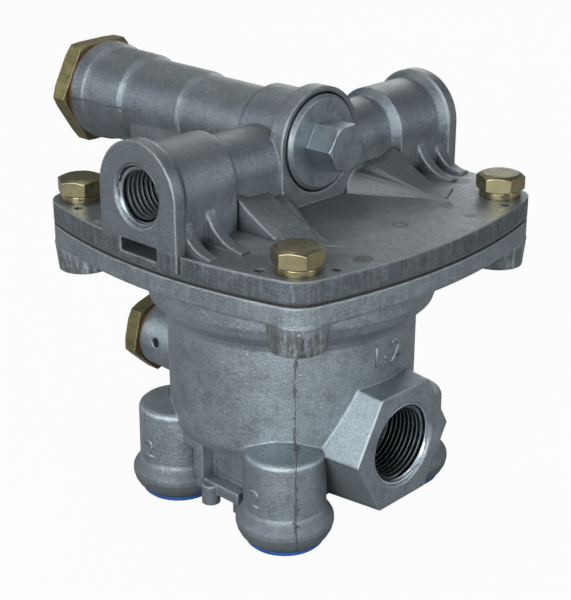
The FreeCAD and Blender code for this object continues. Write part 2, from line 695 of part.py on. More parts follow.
for way, along in ((-1, "+y"), (1, "-y")):
    upper_cuts.append(rod("port_thread_cut", port_thread, pad_face - port_thread_end + 1,
                          0, (pad_face + 1) * way, port_height, along))
    upper_cuts.append(taper("port_lead_cut", port_lead + 0.5, port_thread - 0.5,
                            port_lead - port_thread + 1.0, 0, (pad_face + 0.5) * way, port_height, along))
    upper_cuts.append(rod("port_duct_cut", port_duct, port_thread_end - 5, 0, (port_thread_end + 1) * way,
                          port_height, along))
slot_floor = slot_depth - pad_face
upper_cuts.append(block("slot_cut", -slot_width / 2, slot_width / 2, -pad_face - 1, slot_floor,
                        slot_middle - slot_height / 2, slot_middle + slot_height / 2))
for way_x, way_y in CORNERS:
    upper_cuts.append(rod("corner_clearance_cut", bolt_clearance, 12,
                          bolt_spacing * way_x, bolt_spacing * way_y, -1))
    upper_cuts.append(rod("corner_seat_cut", 8.4, 12, bolt_spacing * way_x, bolt_spacing * way_y, upper_top))
    for near, far in ((-6.8, 6.5), (6.5, -6.8)):
        upper_cuts.append(rod("pin_cut", 1.3, 4, (bolt_spacing + near) * way_x,
                              (bolt_spacing + far) * way_y, upper_top - 2.5))
node("upper_housing", cut("upper_housing_body", upper_solid, fuse("upper_hollows", upper_cuts)))

# Gasket between the flanges
gasket_sheet = outline("gasket_sheet", -half_gap, gasket_height, gasket_inset)
gasket_cuts = [rod("gasket_bore_cut", piston_bore, 4, 0, 0, -2)]
for way_x, way_y in CORNERS:
    gasket_cuts.append(rod("gasket_bolt_cut", bolt_clearance, 4,
                           bolt_spacing * way_x, bolt_spacing * way_y, -2))
node("flange_gasket", cut("flange_gasket_body", gasket_sheet, fuse("gasket_hollows", gasket_cuts)))

# Corner bolts with their spring washers
head_radius = bolt_head_flats * (hex_ratio / 2)
head_base = upper_top + washer_height
for number, (way_x, way_y) in enumerate(CORNERS, 1):
    x = bolt_spacing * way_x
    y = bolt_spacing * way_y
    head = hex_bar("bolt_head", head_radius, bolt_head_height, x, y, head_base, "+z", 30)
    flat = rod("bolt_flat", head_radius, bolt_head_height - 1.4, x, y, head_base + 0.5)
    top = taper("bolt_top", head_radius, head_radius - 1.2, 0.6, x, y, head_base + bolt_head_height - 0.9)
    crown = taper("bolt_crown", head_radius - 1.2, head_radius - 1.9, 0.3, x, y,
                  head_base + bolt_head_height - 0.3)
    foot = taper("bolt_foot", head_radius - 1.5, head_radius, 0.5, x, y, head_base)
    blank = common("bolt_blank", [head, fuse("bolt_round", [foot, flat, top, crown])])
    shank = rod("bolt_shank", bolt_thread, bolt_length, x, y, head_base + 0.5, "-z")
    node("corner_bolt_" + str(number), fuse("corner_bolt", [blank, shank]))
    node("spring_washer_" + str(number),
         ring("spring_washer", bolt_thread + 0.15, washer_radius, washer_height, x, y, upper_top))

# Front plug of the cross bore
front_hex_flats = size("front_hex_flats", 12.2)
front_hex_height = size("front_hex_height", 8.6)
front_disc_radius = size("front_disc_radius", 13.35)
front_disc_face = size("front_disc_face", 12.3)
front_shank_bore = size("front_shank_bore", 7.0)
front_ring_wire = size("front_ring_wire", 0.95)
plug_start = -plug_thread_start + 0.4
front_body = turned("front_plug_body", [
    (front_shank_bore, 0),
    (plug_thread - 0.1, 0),
    (plug_thread - 0.1, plug_recess_floor - plug_start + 0.05),
    (front_disc_radius - 1.9, plug_recess_floor - plug_start + 0.05),
    (front_disc_radius - 1.9, plug_recess_floor - plug_start + 1.9),
    (front_disc_radius, plug_recess_floor - plug_start + 1.9),
    (front_disc_radius, front_disc_face - plug_start - 0.9),
    (front_disc_radius - 1.0, front_disc_face - plug_start),
    (0, front_disc_face - plug_start),
    (0, plug_recess_floor - plug_start - 1.0),
    (front_shank_bore, plug_recess_floor - plug_start - 1.0),
], plug_start, 0, cross_height, "+x")
front_head_radius = front_hex_flats * (hex_ratio / 2)
front_head = hex_bar("front_plug_head", front_head_radius, front_hex_height + 1,
                     front_disc_face - 1, 0, cross_height, "+x", 90)
front_round = turned("front_plug_round", [
    (0, 0),
    (front_head_radius + 0.1, 0),
    (front_head_radius + 0.1, front_hex_height + 0.4),
    (front_head_radius - 0.9, front_hex_height + 1),
    (0, front_hex_height + 1),
], front_disc_face - 1, 0, cross_height, "+x")
front_solid = fuse("front_plug_solid", [front_body, common("front_plug_hex", [front_head, front_round])])
front_window = rod("front_plug_window", 4.0, 30, 0, -15, port_height + 1, "+y")
node("front_plug", cut("front_plug", front_solid, front_window))
node("front_plug_seal", torus("front_plug_seal", front_disc_radius - 1.9 + front_ring_wire,
                              front_ring_wire, plug_recess_floor + front_ring_wire, 0, cross_height, "+x"))

# Brass cap of the cross bore
cap_shank = size("cap_shank", 10.0)
cap_radius = cap_flats * (hex_ratio / 2)
cap_start = -cross_end - cap_seal_height
cap_head = hex_bar("rear_cap_hex", cap_radius, cap_height, cap_start, 0, cross_height, "-x", 88)
cap_round = turned("rear_cap_round", [
    (0, 0),
    (cap_radius - 1.0, 0),
    (cap_radius - 0.1, 0.5),
    (cap_radius - 0.1, cap_height - 0.9),
    (cap_radius - 1.6, cap_height),
    (0, cap_height),
], cap_start, 0, cross_height, "-x")
cap_stem = turned("rear_cap_stem", [
    (0, 0),
    (cap_thread - 1.0, 0),
    (cap_thread, 1.0),
    (cap_thread, cap_shank),
    (cap_thread - 0.8, cap_shank),
    (cap_thread - 0.8, cap_shank + cap_seal_height + 1),
    (0, cap_shank + cap_seal_height + 1),
], -cross_end + cap_shank, 0, cross_height, "-x")
cap_pocket = rod("rear_cap_pocket", 8.6, cap_shank + 1, -cross_end + cap_shank + 1, 0, cross_height, "-x")
cap_solid = fuse("rear_cap_solid", [common("rear_cap_blank", [cap_head, cap_round]), cap_stem])
node("rear_cap", cut("rear_cap", cap_solid, cap_pocket))
node("rear_cap_seal", ring("rear_cap_seal", cap_thread + 0.1, cross_radius_one - 0.3, cap_seal_height,
                           -cross_end, 0, cross_height, "-x"))

# Spool in the cross bore with its seals and spring
spool_fit = size("spool_fit", 0.05)
spool_start = size("spool_start", 11.0)
spool_length = size("spool_length", 36.0)
spool_collar = size("spool_collar", 2.5)
seal_wire = size("seal_wire", 0.9)
spool_radius = spool_bore - spool_fit
groove_floor = spool_bore - seal_wire * 2 + 0.05
groove_width = seal_wire * 2 + 0.3
first_groove = as_size(5.0)
second_groove = spool_length - 9.0
node("control_spool", turned("control_spool", [
    (0, 0),
    (spool_radius - 0.8, 0),
    (spool_radius, 0.8),
    (spool_radius, first_groove),
    (groove_floor, first_groove),
    (groove_floor, first_groove + groove_width),
    (spool_radius, first_groove + groove_width),
    (spool_radius, first_groove + groove_width + 3),
    (spool_radius - 3, first_groove + groove_width + 3),
    (spool_radius - 3, second_groove - 3),
    (spool_radius, second_groove - 3),
    (spool_radius, second_groove),
    (groove_floor, second_groove),
    (groove_floor, second_groove + groove_width),
    (spool_radius, second_groove + groove_width),
    (spool_radius, spool_length),
    (4.2, spool_length),
    (4.2, spool_length + spool_collar),
    (0, spool_length + spool_collar),
], -spool_start, 0, cross_height, "-x"))
for name, spot in (("spool_seal_front", first_groove), ("spool_seal_rear", second_groove)):
    node(name, torus(name, spool_bore - seal_wire, seal_wire - 0.12,
                     -spool_start - spot - groove_width / 2, 0, cross_height, "+x"))
spool_back = spool_start + spool_length
spring_length = cross_end - 1.7 - spool_back
node("spool_spring", coil("spool_spring", 6.6, 0.8, spring_length, 6, -spool_back - 0.15, 0,
                          cross_height, "-x"))

# Side plug with its seal, check valve and spring
side_plug_flats = size("side_plug_flats", 23.0)
side_plug_height = size("side_plug_height", 5.2)
side_seal_height = size("side_seal_height", 0.9)
side_plug_shank = size("side_plug_shank", 7.0)
side_plug_radius = side_plug_flats * (hex_ratio / 2)
side_start = -side_boss_face - side_seal_height
side_head = hex_bar("side_plug_hex", side_plug_radius, side_plug_height, side_start, 0,
                    -side_axis_depth, "-x", 14)
side_round = turned("side_plug_round", [
    (0, 0),
    (side_plug_radius - 0.1, 0),
    (side_plug_radius - 0.1, side_plug_height - 0.8),
    (side_plug_radius - 1.4, side_plug_height),
    (0, side_plug_height),
], side_start, 0, -side_axis_depth, "-x")
side_stem = turned("side_plug_stem", [
    (5.4, 0),
    (side_thread - 0.8, 0),
    (side_thread, 0.8),
    (side_thread, side_plug_shank),
    (side_thread - 0.6, side_plug_shank),
    (side_thread - 0.6, side_plug_shank + side_seal_height + 1),
    (0, side_plug_shank + side_seal_height + 1),
    (0, side_plug_shank - 1),
    (5.4, side_plug_shank - 1),
], -side_boss_face + side_plug_shank, 0, -side_axis_depth, "-x")
node("side_plug", fuse("side_plug", [common("side_plug_blank", [side_head, side_round]), side_stem]))
node("side_plug_seal", ring("side_plug_seal", side_thread + 0.05, side_boss_radius - 0.2,
                            side_seal_height, -side_boss_face, 0, -side_axis_depth, "-x"))
check_head = size("check_head", 6.6)
check_start = -side_thread_end - 0.4
node("check_valve", turned("check_valve", [
    (0, 0.9),
    (check_head - 0.6, 0.9),
    (check_head - 0.6, 0.9 + 0.9),
    (check_head, 0.9 + 0.9),
    (check_head, 4.2),
    (3.6, 4.2),
    (3.6, 7.4),
    (0, 7.4),
], check_start, 0, -side_axis_depth, "-x"))
node("check_valve_seal", ring("check_valve_seal", 3.2, check_head, 0.9, check_start, 0,
                              -side_axis_depth, "-x"))
check_spring_length = side_boss_face - 1.0 - side_thread_end - 4.6 - 0.3
node("check_spring", coil("check_spring", 4.6, 0.5, check_spring_length, 5, check_start - 4.35, 0,
                          -side_axis_depth, "-x"))

# Relay piston with its ring seal
piston_fit = size("piston_fit", 0.05)
piston_top = size("piston_top", 1.6)
piston_crown = size("piston_crown", 3.2)
piston_skirt = size("piston_skirt", 11.0)
piston_tube_radius = size("piston_tube_radius", 6.6)
piston_tube_bore = size("piston_tube_bore", 4.6)
piston_seal_wire = size("piston_seal_wire", 1.3)
exhaust_gap = size("exhaust_gap", 1.5)
valve_gap = size("valve_gap", 0.3)
piston_radius = piston_bore - piston_fit
piston_groove = piston_bore - piston_seal_wire * 2 + 0.05
piston_groove_low = size("piston_groove_low", 4.2)
piston_groove_high = piston_groove_low + piston_seal_wire * 2 + 0.3
valve_face = seat_web_bottom + seat_lip + valve_gap
tube_end = valve_face - exhaust_gap
skirt_low = tube_end - piston_top - piston_skirt
node("relay_piston", turned("relay_piston", [
    (piston_tube_bore, 0),
    (piston_tube_bore + 0.9, 0),
    (piston_tube_radius, 1.2),
    (piston_tube_radius, skirt_low + piston_skirt - piston_crown - 2),
    (piston_tube_radius + 2, skirt_low + piston_skirt - piston_crown),
    (piston_radius - 4.8, skirt_low + piston_skirt - piston_crown),
    (piston_radius - 4.8, skirt_low),
    (piston_radius, skirt_low),
    (piston_radius, skirt_low + piston_groove_low),
    (piston_groove, skirt_low + piston_groove_low),
    (piston_groove, skirt_low + piston_groove_high),
    (piston_radius, skirt_low + piston_groove_high),
    (piston_radius, skirt_low + piston_skirt - 1),
    (piston_radius - 1, skirt_low + piston_skirt),
    (0, skirt_low + piston_skirt),
    (0, skirt_low + piston_skirt - piston_crown),
    (piston_tube_bore, skirt_low + piston_skirt - piston_crown),
], 0, 0, -tube_end))
node("relay_piston_seal", torus("relay_piston_seal", piston_bore - piston_seal_wire,
                                piston_seal_wire - 0.12, 0, 0,
                                skirt_low - tube_end + (piston_groove_low + piston_groove_high) / 2))

# Inlet valve: hollow stem, rubber face, spring, guide and exhaust parts
stem_radius = size("stem_radius", 6.4)
stem_bore = size("stem_bore", 4.4)
stem_end = size("stem_end", 70.5)
valve_head_radius = size("valve_head_radius", 13.0)
valve_head_height = size("valve_head_height", 3.0)
valve_face_height = size("valve_face_height", 1.8)
node("inlet_valve", turned("inlet_valve", [
    (stem_bore, 0),
    (stem_radius, 0),
    (stem_radius, stem_end - valve_face - valve_face_height - valve_head_height),
    (valve_head_radius, stem_end - valve_face - valve_face_height - valve_head_height),
    (valve_head_radius, stem_end - valve_face - valve_face_height),
    (stem_bore, stem_end - valve_face - valve_face_height),
], 0, 0, -stem_end))
node("inlet_valve_face", ring("inlet_valve_face", stem_bore, valve_head_radius, valve_face_height,
                              0, 0, -valve_face, "-z"))
guide_fit = size("guide_fit", 0.05)
guide_top = size("guide_top", 58.5)
guide_bottom = size("guide_bottom", 76.0)
guide_flange = size("guide_flange", 14.5)
exhaust_bore = size("exhaust_bore", 10.0)
stem_seal_wire = size("stem_seal_wire", 0.9)
stem_groove = stem_radius + stem_seal_wire * 2 - 0.05
guide_bore_end = size("guide_bore_end", 71.5)
node("valve_guide", turned("valve_guide", [
    (stem_radius + guide_fit, guide_bottom - guide_bore_end),
    (exhaust_bore, guide_bottom - guide_bore_end),
    (exhaust_bore, 0),
    (guide_bore, 0),
    (guide_bore, guide_bottom - supply_chamber_bottom),
    (guide_flange, guide_bottom - supply_chamber_bottom),
    (guide_flange, guide_bottom - guide_top),
    (stem_radius + guide_fit, guide_bottom - guide_top),
    (stem_radius + guide_fit, guide_bottom - guide_top - 3.0),
    (stem_groove, guide_bottom - guide_top - 3.0),
    (stem_groove, guide_bottom - guide_top - 5.1),
    (stem_radius + guide_fit, guide_bottom - guide_top - 5.1),
], 0, 0, -guide_bottom))
node("stem_seal", torus("stem_seal", stem_radius + stem_seal_wire, stem_seal_wire - 0.12,
                        0, 0, -guide_top - 4.05))
inlet_spring_length = guide_top - valve_face - valve_face_height - valve_head_height
node("inlet_spring", coil("inlet_spring", 10.2, 0.7, inlet_spring_length - 0.3, 4, 0, 0,
                          -guide_top + 0.15))
snap_height = size("snap_height", 1.2)
node("guide_retaining_ring", ring("guide_retaining_ring", exhaust_bore + 0.2, guide_bore,
                                  snap_height, 0, 0, -guide_bottom, "-z"))
flap_radius = size("flap_radius", 13.6)
flap_height = size("flap_height", 1.6)
hub_radius = size("hub_radius", 3.2)
spider = [turned("exhaust_cover_rim", [
    (exhaust_bore + 0.6, 0),
    (neck_radius, 0),
    (neck_radius, 2.0),
    (guide_bore - 0.0, 2.0),
    (guide_bore - 0.0, 2.6),
    (exhaust_bore + 0.6, 2.6),
], 0, 0, -neck_bottom - 2.0)]
spider.append(rod("exhaust_cover_hub", hub_radius, 2.0, 0, 0, -neck_bottom - 2.0))
arm_half = exhaust_bore + 1.0
for angle in (0, 60, 120):
    arm = block("exhaust_cover_arm", -arm_half, arm_half, -1.1, 1.1, 0, 2.0)
    along = math.cos(math.radians(angle))
    across = math.sin(math.radians(angle))
    spider.append(put(arm, arm_half * -along + 1.1 * across, arm_half * -across - 1.1 * along,
                      -neck_bottom - 2.0, Rotation(Vector(0, 0, 1), angle)))
cover_solid = fuse("exhaust_cover_solid", spider)
cover_hole = rod("exhaust_cover_hole", 1.5, 6, 0, 0, -neck_bottom - 4.0)
node("exhaust_cover", cut("exhaust_cover", cover_solid, cover_hole))
node("exhaust_flap", turned("exhaust_flap", [
    (0, 0),
    (flap_radius, 0),
    (flap_radius, flap_height - 0.6),
    (flap_radius - 1.0, flap_height),
    (1.5, flap_height),
    (1.5, flap_height + 2.0),
    (2.4, flap_height + 2.0),
    (0.8, flap_height + 4.2),
    (0, flap_height + 4.2),
], 0, 0, -neck_bottom - 2.0 - flap_height))

# Dust plugs in the delivery ports
dust_flange = size("dust_flange", 11.2)
dust_depth = size("dust_depth", 9.0)
for number, (way_x, way_y) in enumerate(CORNERS, 1):
    node("dust_plug_" + str(number), turned("dust_plug", [
        (0, 0),
        (dust_flange - 0.5, 0),
        (dust_flange, 0.5),
        (dust_flange, dust_flange_height),
        (delivery_thread - 0.1, dust_flange_height),
        (delivery_thread - 0.4, dust_flange_height + dust_depth),
        (delivery_thread - 1.9, dust_flange_height + dust_depth),
        (delivery_thread - 1.9, dust_flange_height),
        (delivery_thread - 1.9, 1.2),
        (0, 1.2),
    ], delivery_x * way_x, delivery_y * way_y, -delivery_bottom - dust_flange_height))

doc.recompute()
os.makedirs(OUTPUT_FOLDER, exist_ok=True)
for thing in doc.Objects:
    troubles = [word for word in thing.State if word in ("Invalid", "Error")]
    if troubles:
        raise RuntimeError("object " + thing.Label + " did not build: " + ", ".join(troubles))
for piece in NODES:
    shape = piece.Shape
    if shape.isNull() or not shape.isValid() or not shape.Solids:
        raise RuntimeError("piece " + piece.Label + " has no sound shape")
    print(piece.Label, "solids", len(shape.Solids), "volume", round(shape.Volume, 1))
for piece in NODES:
    piece.Shape.exportStep(os.path.join(OUTPUT_FOLDER, piece.Label + ".step"))
print("pieces written:", len(NODES))
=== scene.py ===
import math
from types import SimpleNamespace

import bpy
from bpy.props import FloatProperty, FloatVectorProperty, PointerProperty
from mathutils import Matrix, Vector


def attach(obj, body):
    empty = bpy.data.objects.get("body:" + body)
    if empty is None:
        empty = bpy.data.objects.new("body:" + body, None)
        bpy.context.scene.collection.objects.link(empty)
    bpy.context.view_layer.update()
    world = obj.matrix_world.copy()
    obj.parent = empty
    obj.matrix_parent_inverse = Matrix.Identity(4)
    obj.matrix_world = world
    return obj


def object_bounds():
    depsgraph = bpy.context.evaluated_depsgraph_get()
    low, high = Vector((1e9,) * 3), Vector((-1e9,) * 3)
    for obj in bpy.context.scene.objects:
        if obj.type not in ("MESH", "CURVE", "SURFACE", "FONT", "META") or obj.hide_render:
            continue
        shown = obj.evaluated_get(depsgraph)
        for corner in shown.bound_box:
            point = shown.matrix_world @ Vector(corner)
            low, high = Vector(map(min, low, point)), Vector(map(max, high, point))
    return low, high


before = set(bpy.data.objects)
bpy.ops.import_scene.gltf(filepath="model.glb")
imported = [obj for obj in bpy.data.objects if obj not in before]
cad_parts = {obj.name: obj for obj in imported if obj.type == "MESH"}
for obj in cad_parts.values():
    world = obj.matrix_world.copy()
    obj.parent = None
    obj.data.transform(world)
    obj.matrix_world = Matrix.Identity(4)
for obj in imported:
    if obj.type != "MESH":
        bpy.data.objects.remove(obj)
CAD_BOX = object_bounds()

bl_info = {
    "name": "Air relay valve finish",
    "version": (1, 0, 0),
    "blender": (4, 5, 0),
    "location": "View3D > Sidebar > Relay valve",
    "description": "Threads, webs, cast figures, finishes and studio for the relay valve",
    "category": "Object",
}

MM = 0.001
FLANGE_REACH = 56.0
JOINT_HEIGHT = 84.1
# Places below are in millimetres from the middle of the flange joint, on the piston's axis
JOINT = Vector((CAD_BOX[1][0] / MM - FLANGE_REACH, 0, CAD_BOX[0][2] / MM + JOINT_HEIGHT))

CROSS_AXIS_HEIGHT = 24.3
CORNER_REACH = 42.3
RIM_HALF_HEIGHT = 6.0
# Stains lie above the first height, and the painted shade on the delivery ports' feet ends at the second
STAIN_FLOOR = 5.0
FOOT_SHADE_TOP = -72.0

SUPPLY_MOUTH = (42.7, 0, -57.1)
SUPPLY_THREAD_LENGTH = 14.5
CONTROL_MOUTH_REACH = 56.2
CONTROL_PORT_HEIGHT = 19.6
CONTROL_THREAD_LENGTH = 13.5

FIGURE_DEPTH = 0.9
FIGURE_EDGE = 0.08
FIGURE_THINNING = 0.06
# The size of the letters for a figure one millimetre high
TYPE_SIZE_SHARE = 1.42
PORT_FIGURES = (("left", (-22.0, -37.45, -68.1)), ("front", (21.6, -37.45, -67.7)))
SUPPLY_FIGURE_SPOT = (36.0, 0.0, -31.4)
SUPPLY_FIGURE_SHARE = 1.22

# Each stain has its place across the flange and its radius
DECK_MARKS = (((48.2, -24.9), 3.2), ((38.6, 21.2), 2.4), ((26.0, 45.0), 3.4), ((47.0, 20.8), 2.0))
INK_RING_PLACE = (40.2, -0.7)
INK_RING_RADII = (2.6, 1.3)

# The edges of the webs from the control port bosses to the front bolts: each starts at a place along
# X and to the side, drifts sideways by its spread, and falls by its rise to its low end
WEB_ROWS = 9
WEB_FLOOR = 6.4
WEB_OUTER = {"start": 8.5, "length": 20.0, "side": 32.6, "spread": 0.0, "low": 6.7, "rise": 11.1}
WEB_INNER = {"start": 9.5, "length": 29.5, "side": 19.6, "spread": 4.2, "low": 7.2, "rise": 7.4}
WEB_SAG = 1.3
WEB_EDGE = 0.9

# The thread's outline, stroke by stroke: inwards as a share of its depth, on as a share of its pitch
THREAD_STROKES = ((-1, 0.4), (0, 0.12), (1, 0.4), (0, 0.08))
THREAD_STEPS = 56
THREAD_WALL = 0.25
CREST_RISE = 0.7
SMOOTH_ANGLE = 40
RAY_SAMPLES = 6

# Name, place from the joint's middle in metres, size in metres and power in watts
LAMPS = (
    ("key_lamp", (0.22, -0.78, 0.32), 0.45, 6.6),
    ("left_lamp", (-0.75, -0.45, 0.16), 0.35, 1.0),
    ("right_lamp", (0.85, 0.2, 0.25), 0.35, 2.6),
    ("back_lamp", (-0.5, 0.75, 0.35), 0.4, 1.5),
    ("front_lamp", (0.6, -0.55, 0.12), 0.2, 1.6),
    ("top_lamp", (-0.3, 0.1, 0.8), 0.25, 1.5),
)
# Where the lamps face, in metres too
LAMP_TARGET = (0, 0, -0.03)
CAMERA_TARGET = (0, 0, -25)
CAMERA_SHIFT = (-0.0101, -0.0019)


# Shader maths

class Socket:
    """An output socket that takes part in sums, each sum adding its Math node."""

    def __init__(self, paint, socket):
        self.paint = paint
        self.socket = socket

    def sum(self, operation, first, second=None):
        values = {0: first}
        if second is not None:
            values[1] = second
        return self.paint.add("ShaderNodeMath", {"operation": operation}, values)

    def __add__(self, other):
        return self.sum("ADD", self, other)

    def __radd__(self, other):
        return self.sum("ADD", other, self)

    def __sub__(self, other):
        return self.sum("SUBTRACT", self, other)

    def __rsub__(self, other):
        return self.sum("SUBTRACT", other, self)

    def __mul__(self, other):
        return self.sum("MULTIPLY", self, other)

    def __truediv__(self, other):
        return self.sum("DIVIDE", self, other)

    def __pow__(self, other):
        return self.sum("POWER", self, other)

    def __abs__(self):
        return self.sum("ABSOLUTE", self)

    def larger(self, other):
        return self.sum("MAXIMUM", self, other)

    def smaller(self, other):
        return self.sum("MINIMUM", self, other)

    def wave(self):
        return self.sum("SINE", self)

    def step(self, low, high):
        """A soft step from 0 at low to 1 at high."""
        settings = {"interpolation_type": "SMOOTHSTEP"}
        values = {"Value": self, "From Min": low, "From Max": high}
        return self.paint.add("ShaderNodeMapRange", settings, values)


class Paint:
    """One procedural material, built node by node."""

    def __init__(self, name):
        self.material = bpy.data.materials.new(name)
        self.material.use_nodes = True
        self.tree = self.material.node_tree
        self.tree.nodes.clear()
        self.shader = self.tree.nodes.new("ShaderNodeBsdfPrincipled")
        out = self.tree.nodes.new("ShaderNodeOutputMaterial")
        self.tree.links.new(self.shader.outputs[0], out.inputs["Surface"])
        place = self.add("ShaderNodeTexCoord", output="Object")
        self.milli = self.scaled(place, (1 / MM, 1 / MM, 1 / MM), -JOINT)

    def add(self, kind, settings=None, values=None, output=0):
        """Add a node, set it up, and give back one of its outputs."""
        item = self.tree.nodes.new(kind)
        for key, value in (settings or {}).items():
            setattr(item, key, value)
        for key, value in (values or {}).items():
            if isinstance(value, Socket):
                self.tree.links.new(value.socket, item.inputs[key])
            else:
                item.inputs[key].default_value = value
        return Socket(self, item.outputs[output])

    def scaled(self, vector, scale, shift=(0, 0, 0)):
        values = {"Vector": vector, "Scale": scale, "Location": shift}
        return self.add("ShaderNodeMapping", {"vector_type": "POINT"}, values)

    def noise(self, scale, detail=4.0, rough=0.55, twist=0.0, at=None):
        """Cloudy noise, with scale in patches per millimetre."""
        values = {
            "Vector": at or self.milli,
            "Scale": scale,
            "Detail": detail,
            "Roughness": rough,
            "Distortion": twist,
        }
        return self.add("ShaderNodeTexNoise", None, values, "Fac")

    def mix(self, share, first, second):
        """A blend of two colours, by a share or a mask."""
        return self.add("ShaderNodeMix", {"data_type": "RGBA"}, {0: share, 6: first, 7: second}, 2)

    def parts(self, vector):
        """The x, y and z of a vector."""
        item = self.tree.nodes.new("ShaderNodeSeparateXYZ")
        self.tree.links.new(vector.socket, item.inputs[0])
        return [Socket(self, item.outputs[index]) for index in range(3)]

    def normal(self):
        return self.add("ShaderNodeNewGeometry", output="Normal")

    def soft_edge(self, radius):
        return self.add("ShaderNodeBevel", {"samples": RAY_SAMPLES}, {"Radius": radius * MM})

    def edge(self, radius):
        """One along edges, nought on flats."""
        soft = self.soft_edge(radius)
        facing = self.add("ShaderNodeVectorMath", {"operation": "DOT_PRODUCT"},
                          {0: soft, 1: self.normal()}, "Value")
        return 1 - facing

    def crevice(self, reach):
        """One deep in a corner, nought in the open."""
        open_sky = self.add("ShaderNodeAmbientOcclusion", {"samples": RAY_SAMPLES},
                            {"Distance": reach * MM}, "AO")
        return 1 - open_sky

    def spot(self, x, y, place, radius, ragged):
        """One within a ragged round spot on the flange's top, nought outside it."""
        far = ((x - place[0]) * (x - place[0]) + (y - place[1]) * (y - place[1])) ** 0.5
        return 1 - (far + (ragged - 0.5) * 3.0).step(radius * 0.7, radius)

    def finish(self, colour, rough, metal, bump=None, depth=0.0, radius=0.0):
        """Feed the shader, with relief of a depth and edges of a radius in millimetres."""
        for key, value in (("Base Color", colour), ("Roughness", rough), ("Metallic", metal)):
            if isinstance(value, Socket):
                self.tree.links.new(value.socket, self.shader.inputs[key])
            else:
                self.shader.inputs[key].default_value = value
        if bump is not None:
            values = {
                "Height": bump,
                "Distance": depth * MM,
                "Strength": 1.0,
                "Normal": self.soft_edge(radius),
            }
            relief = self.add("ShaderNodeBump", None, values)
            self.tree.links.new(relief.socket, self.shader.inputs["Normal"])
        return self.material


def shade(colour, by=1.0):
    """A colour from three parts, with its alpha."""
    return (colour[0] * by, colour[1] * by, colour[2] * by, 1.0)


# Finishes

def between(value, low_start, low_end, high_start, high_end):
    """One within a band of a value, with soft ends."""
    return value.step(low_start, low_end) * (1 - value.step(high_start, high_end))


def cast_field(paint):
    """The places, noises and masks that all layers of the cast finish share."""
    x, y, z = paint.parts(paint.milli)
    up = paint.parts(paint.normal())[2]
    return SimpleNamespace(
        x=x, y=y, z=z, up=up,
        cloud=paint.noise(0.07, 4.0, 0.55),
        blotch=paint.noise(0.22, 8.0, 0.68, 0.15),
        grain=paint.noise(1.7, 5.0, 0.75),
        speck=paint.noise(0.9, 6.0, 0.72),
        drawn=paint.noise(0.8, 6.0, 0.65, at=paint.scaled(paint.milli, (1.0, 1.0, 0.08))),
        dirt=paint.noise(0.45, 8.0, 0.75, 0.3),
        crevice=paint.crevice(4.5),
        wall=1 - abs(up).step(0.2, 0.6),
        deck=up.step(0.55, 0.95),
    )


def cast_skin(paint, field, look, tone, streak):
    """The blasted skin with its clouds and grain, and drawn streaks on the flange's rim."""
    cast = look.cast_colour
    field.rim = field.wall * (1 - abs(field.z).step(RIM_HALF_HEIGHT, RIM_HALF_HEIGHT + 1.5))
    colour = paint.mix(field.cloud.step(0.3, 0.7), shade(cast, 0.88 * tone), shade(cast, 1.12 * tone))
    colour = paint.mix(field.grain.step(0.5, 0.66) * 0.6, colour, shade(cast, 1.5 * tone))
    colour = paint.mix((1 - field.grain.step(0.34, 0.5)) * 0.6, colour, shade(cast, 0.5 * tone))
    streaks = (field.drawn * 0.5 + field.dirt * 0.5).step(0.38, 0.6)
    streaks = streaks * (field.rim * streak + field.wall * 0.08)
    colour = paint.mix(streaks, colour, shade(cast, 0.36 * tone))
    return paint.mix(field.blotch.step(0.5, 0.7) * 0.4, colour, shade(cast, 0.68 * tone))


def deck_marks(paint, field):
    """The dark stains and the faint ink ring on the top of the flange."""
    marks = None
    for place, radius in DECK_MARKS:
        mark = paint.spot(field.x, field.y, place, radius, field.dirt)
        marks = marks.larger(mark) if marks else mark
    outer, inner = [paint.spot(field.x, field.y, INK_RING_PLACE, radius, field.dirt)
                    for radius in INK_RING_RADII]
    return marks.larger(outer - inner) * field.deck * field.z.step(STAIN_FLOOR, STAIN_FLOOR + 0.6)


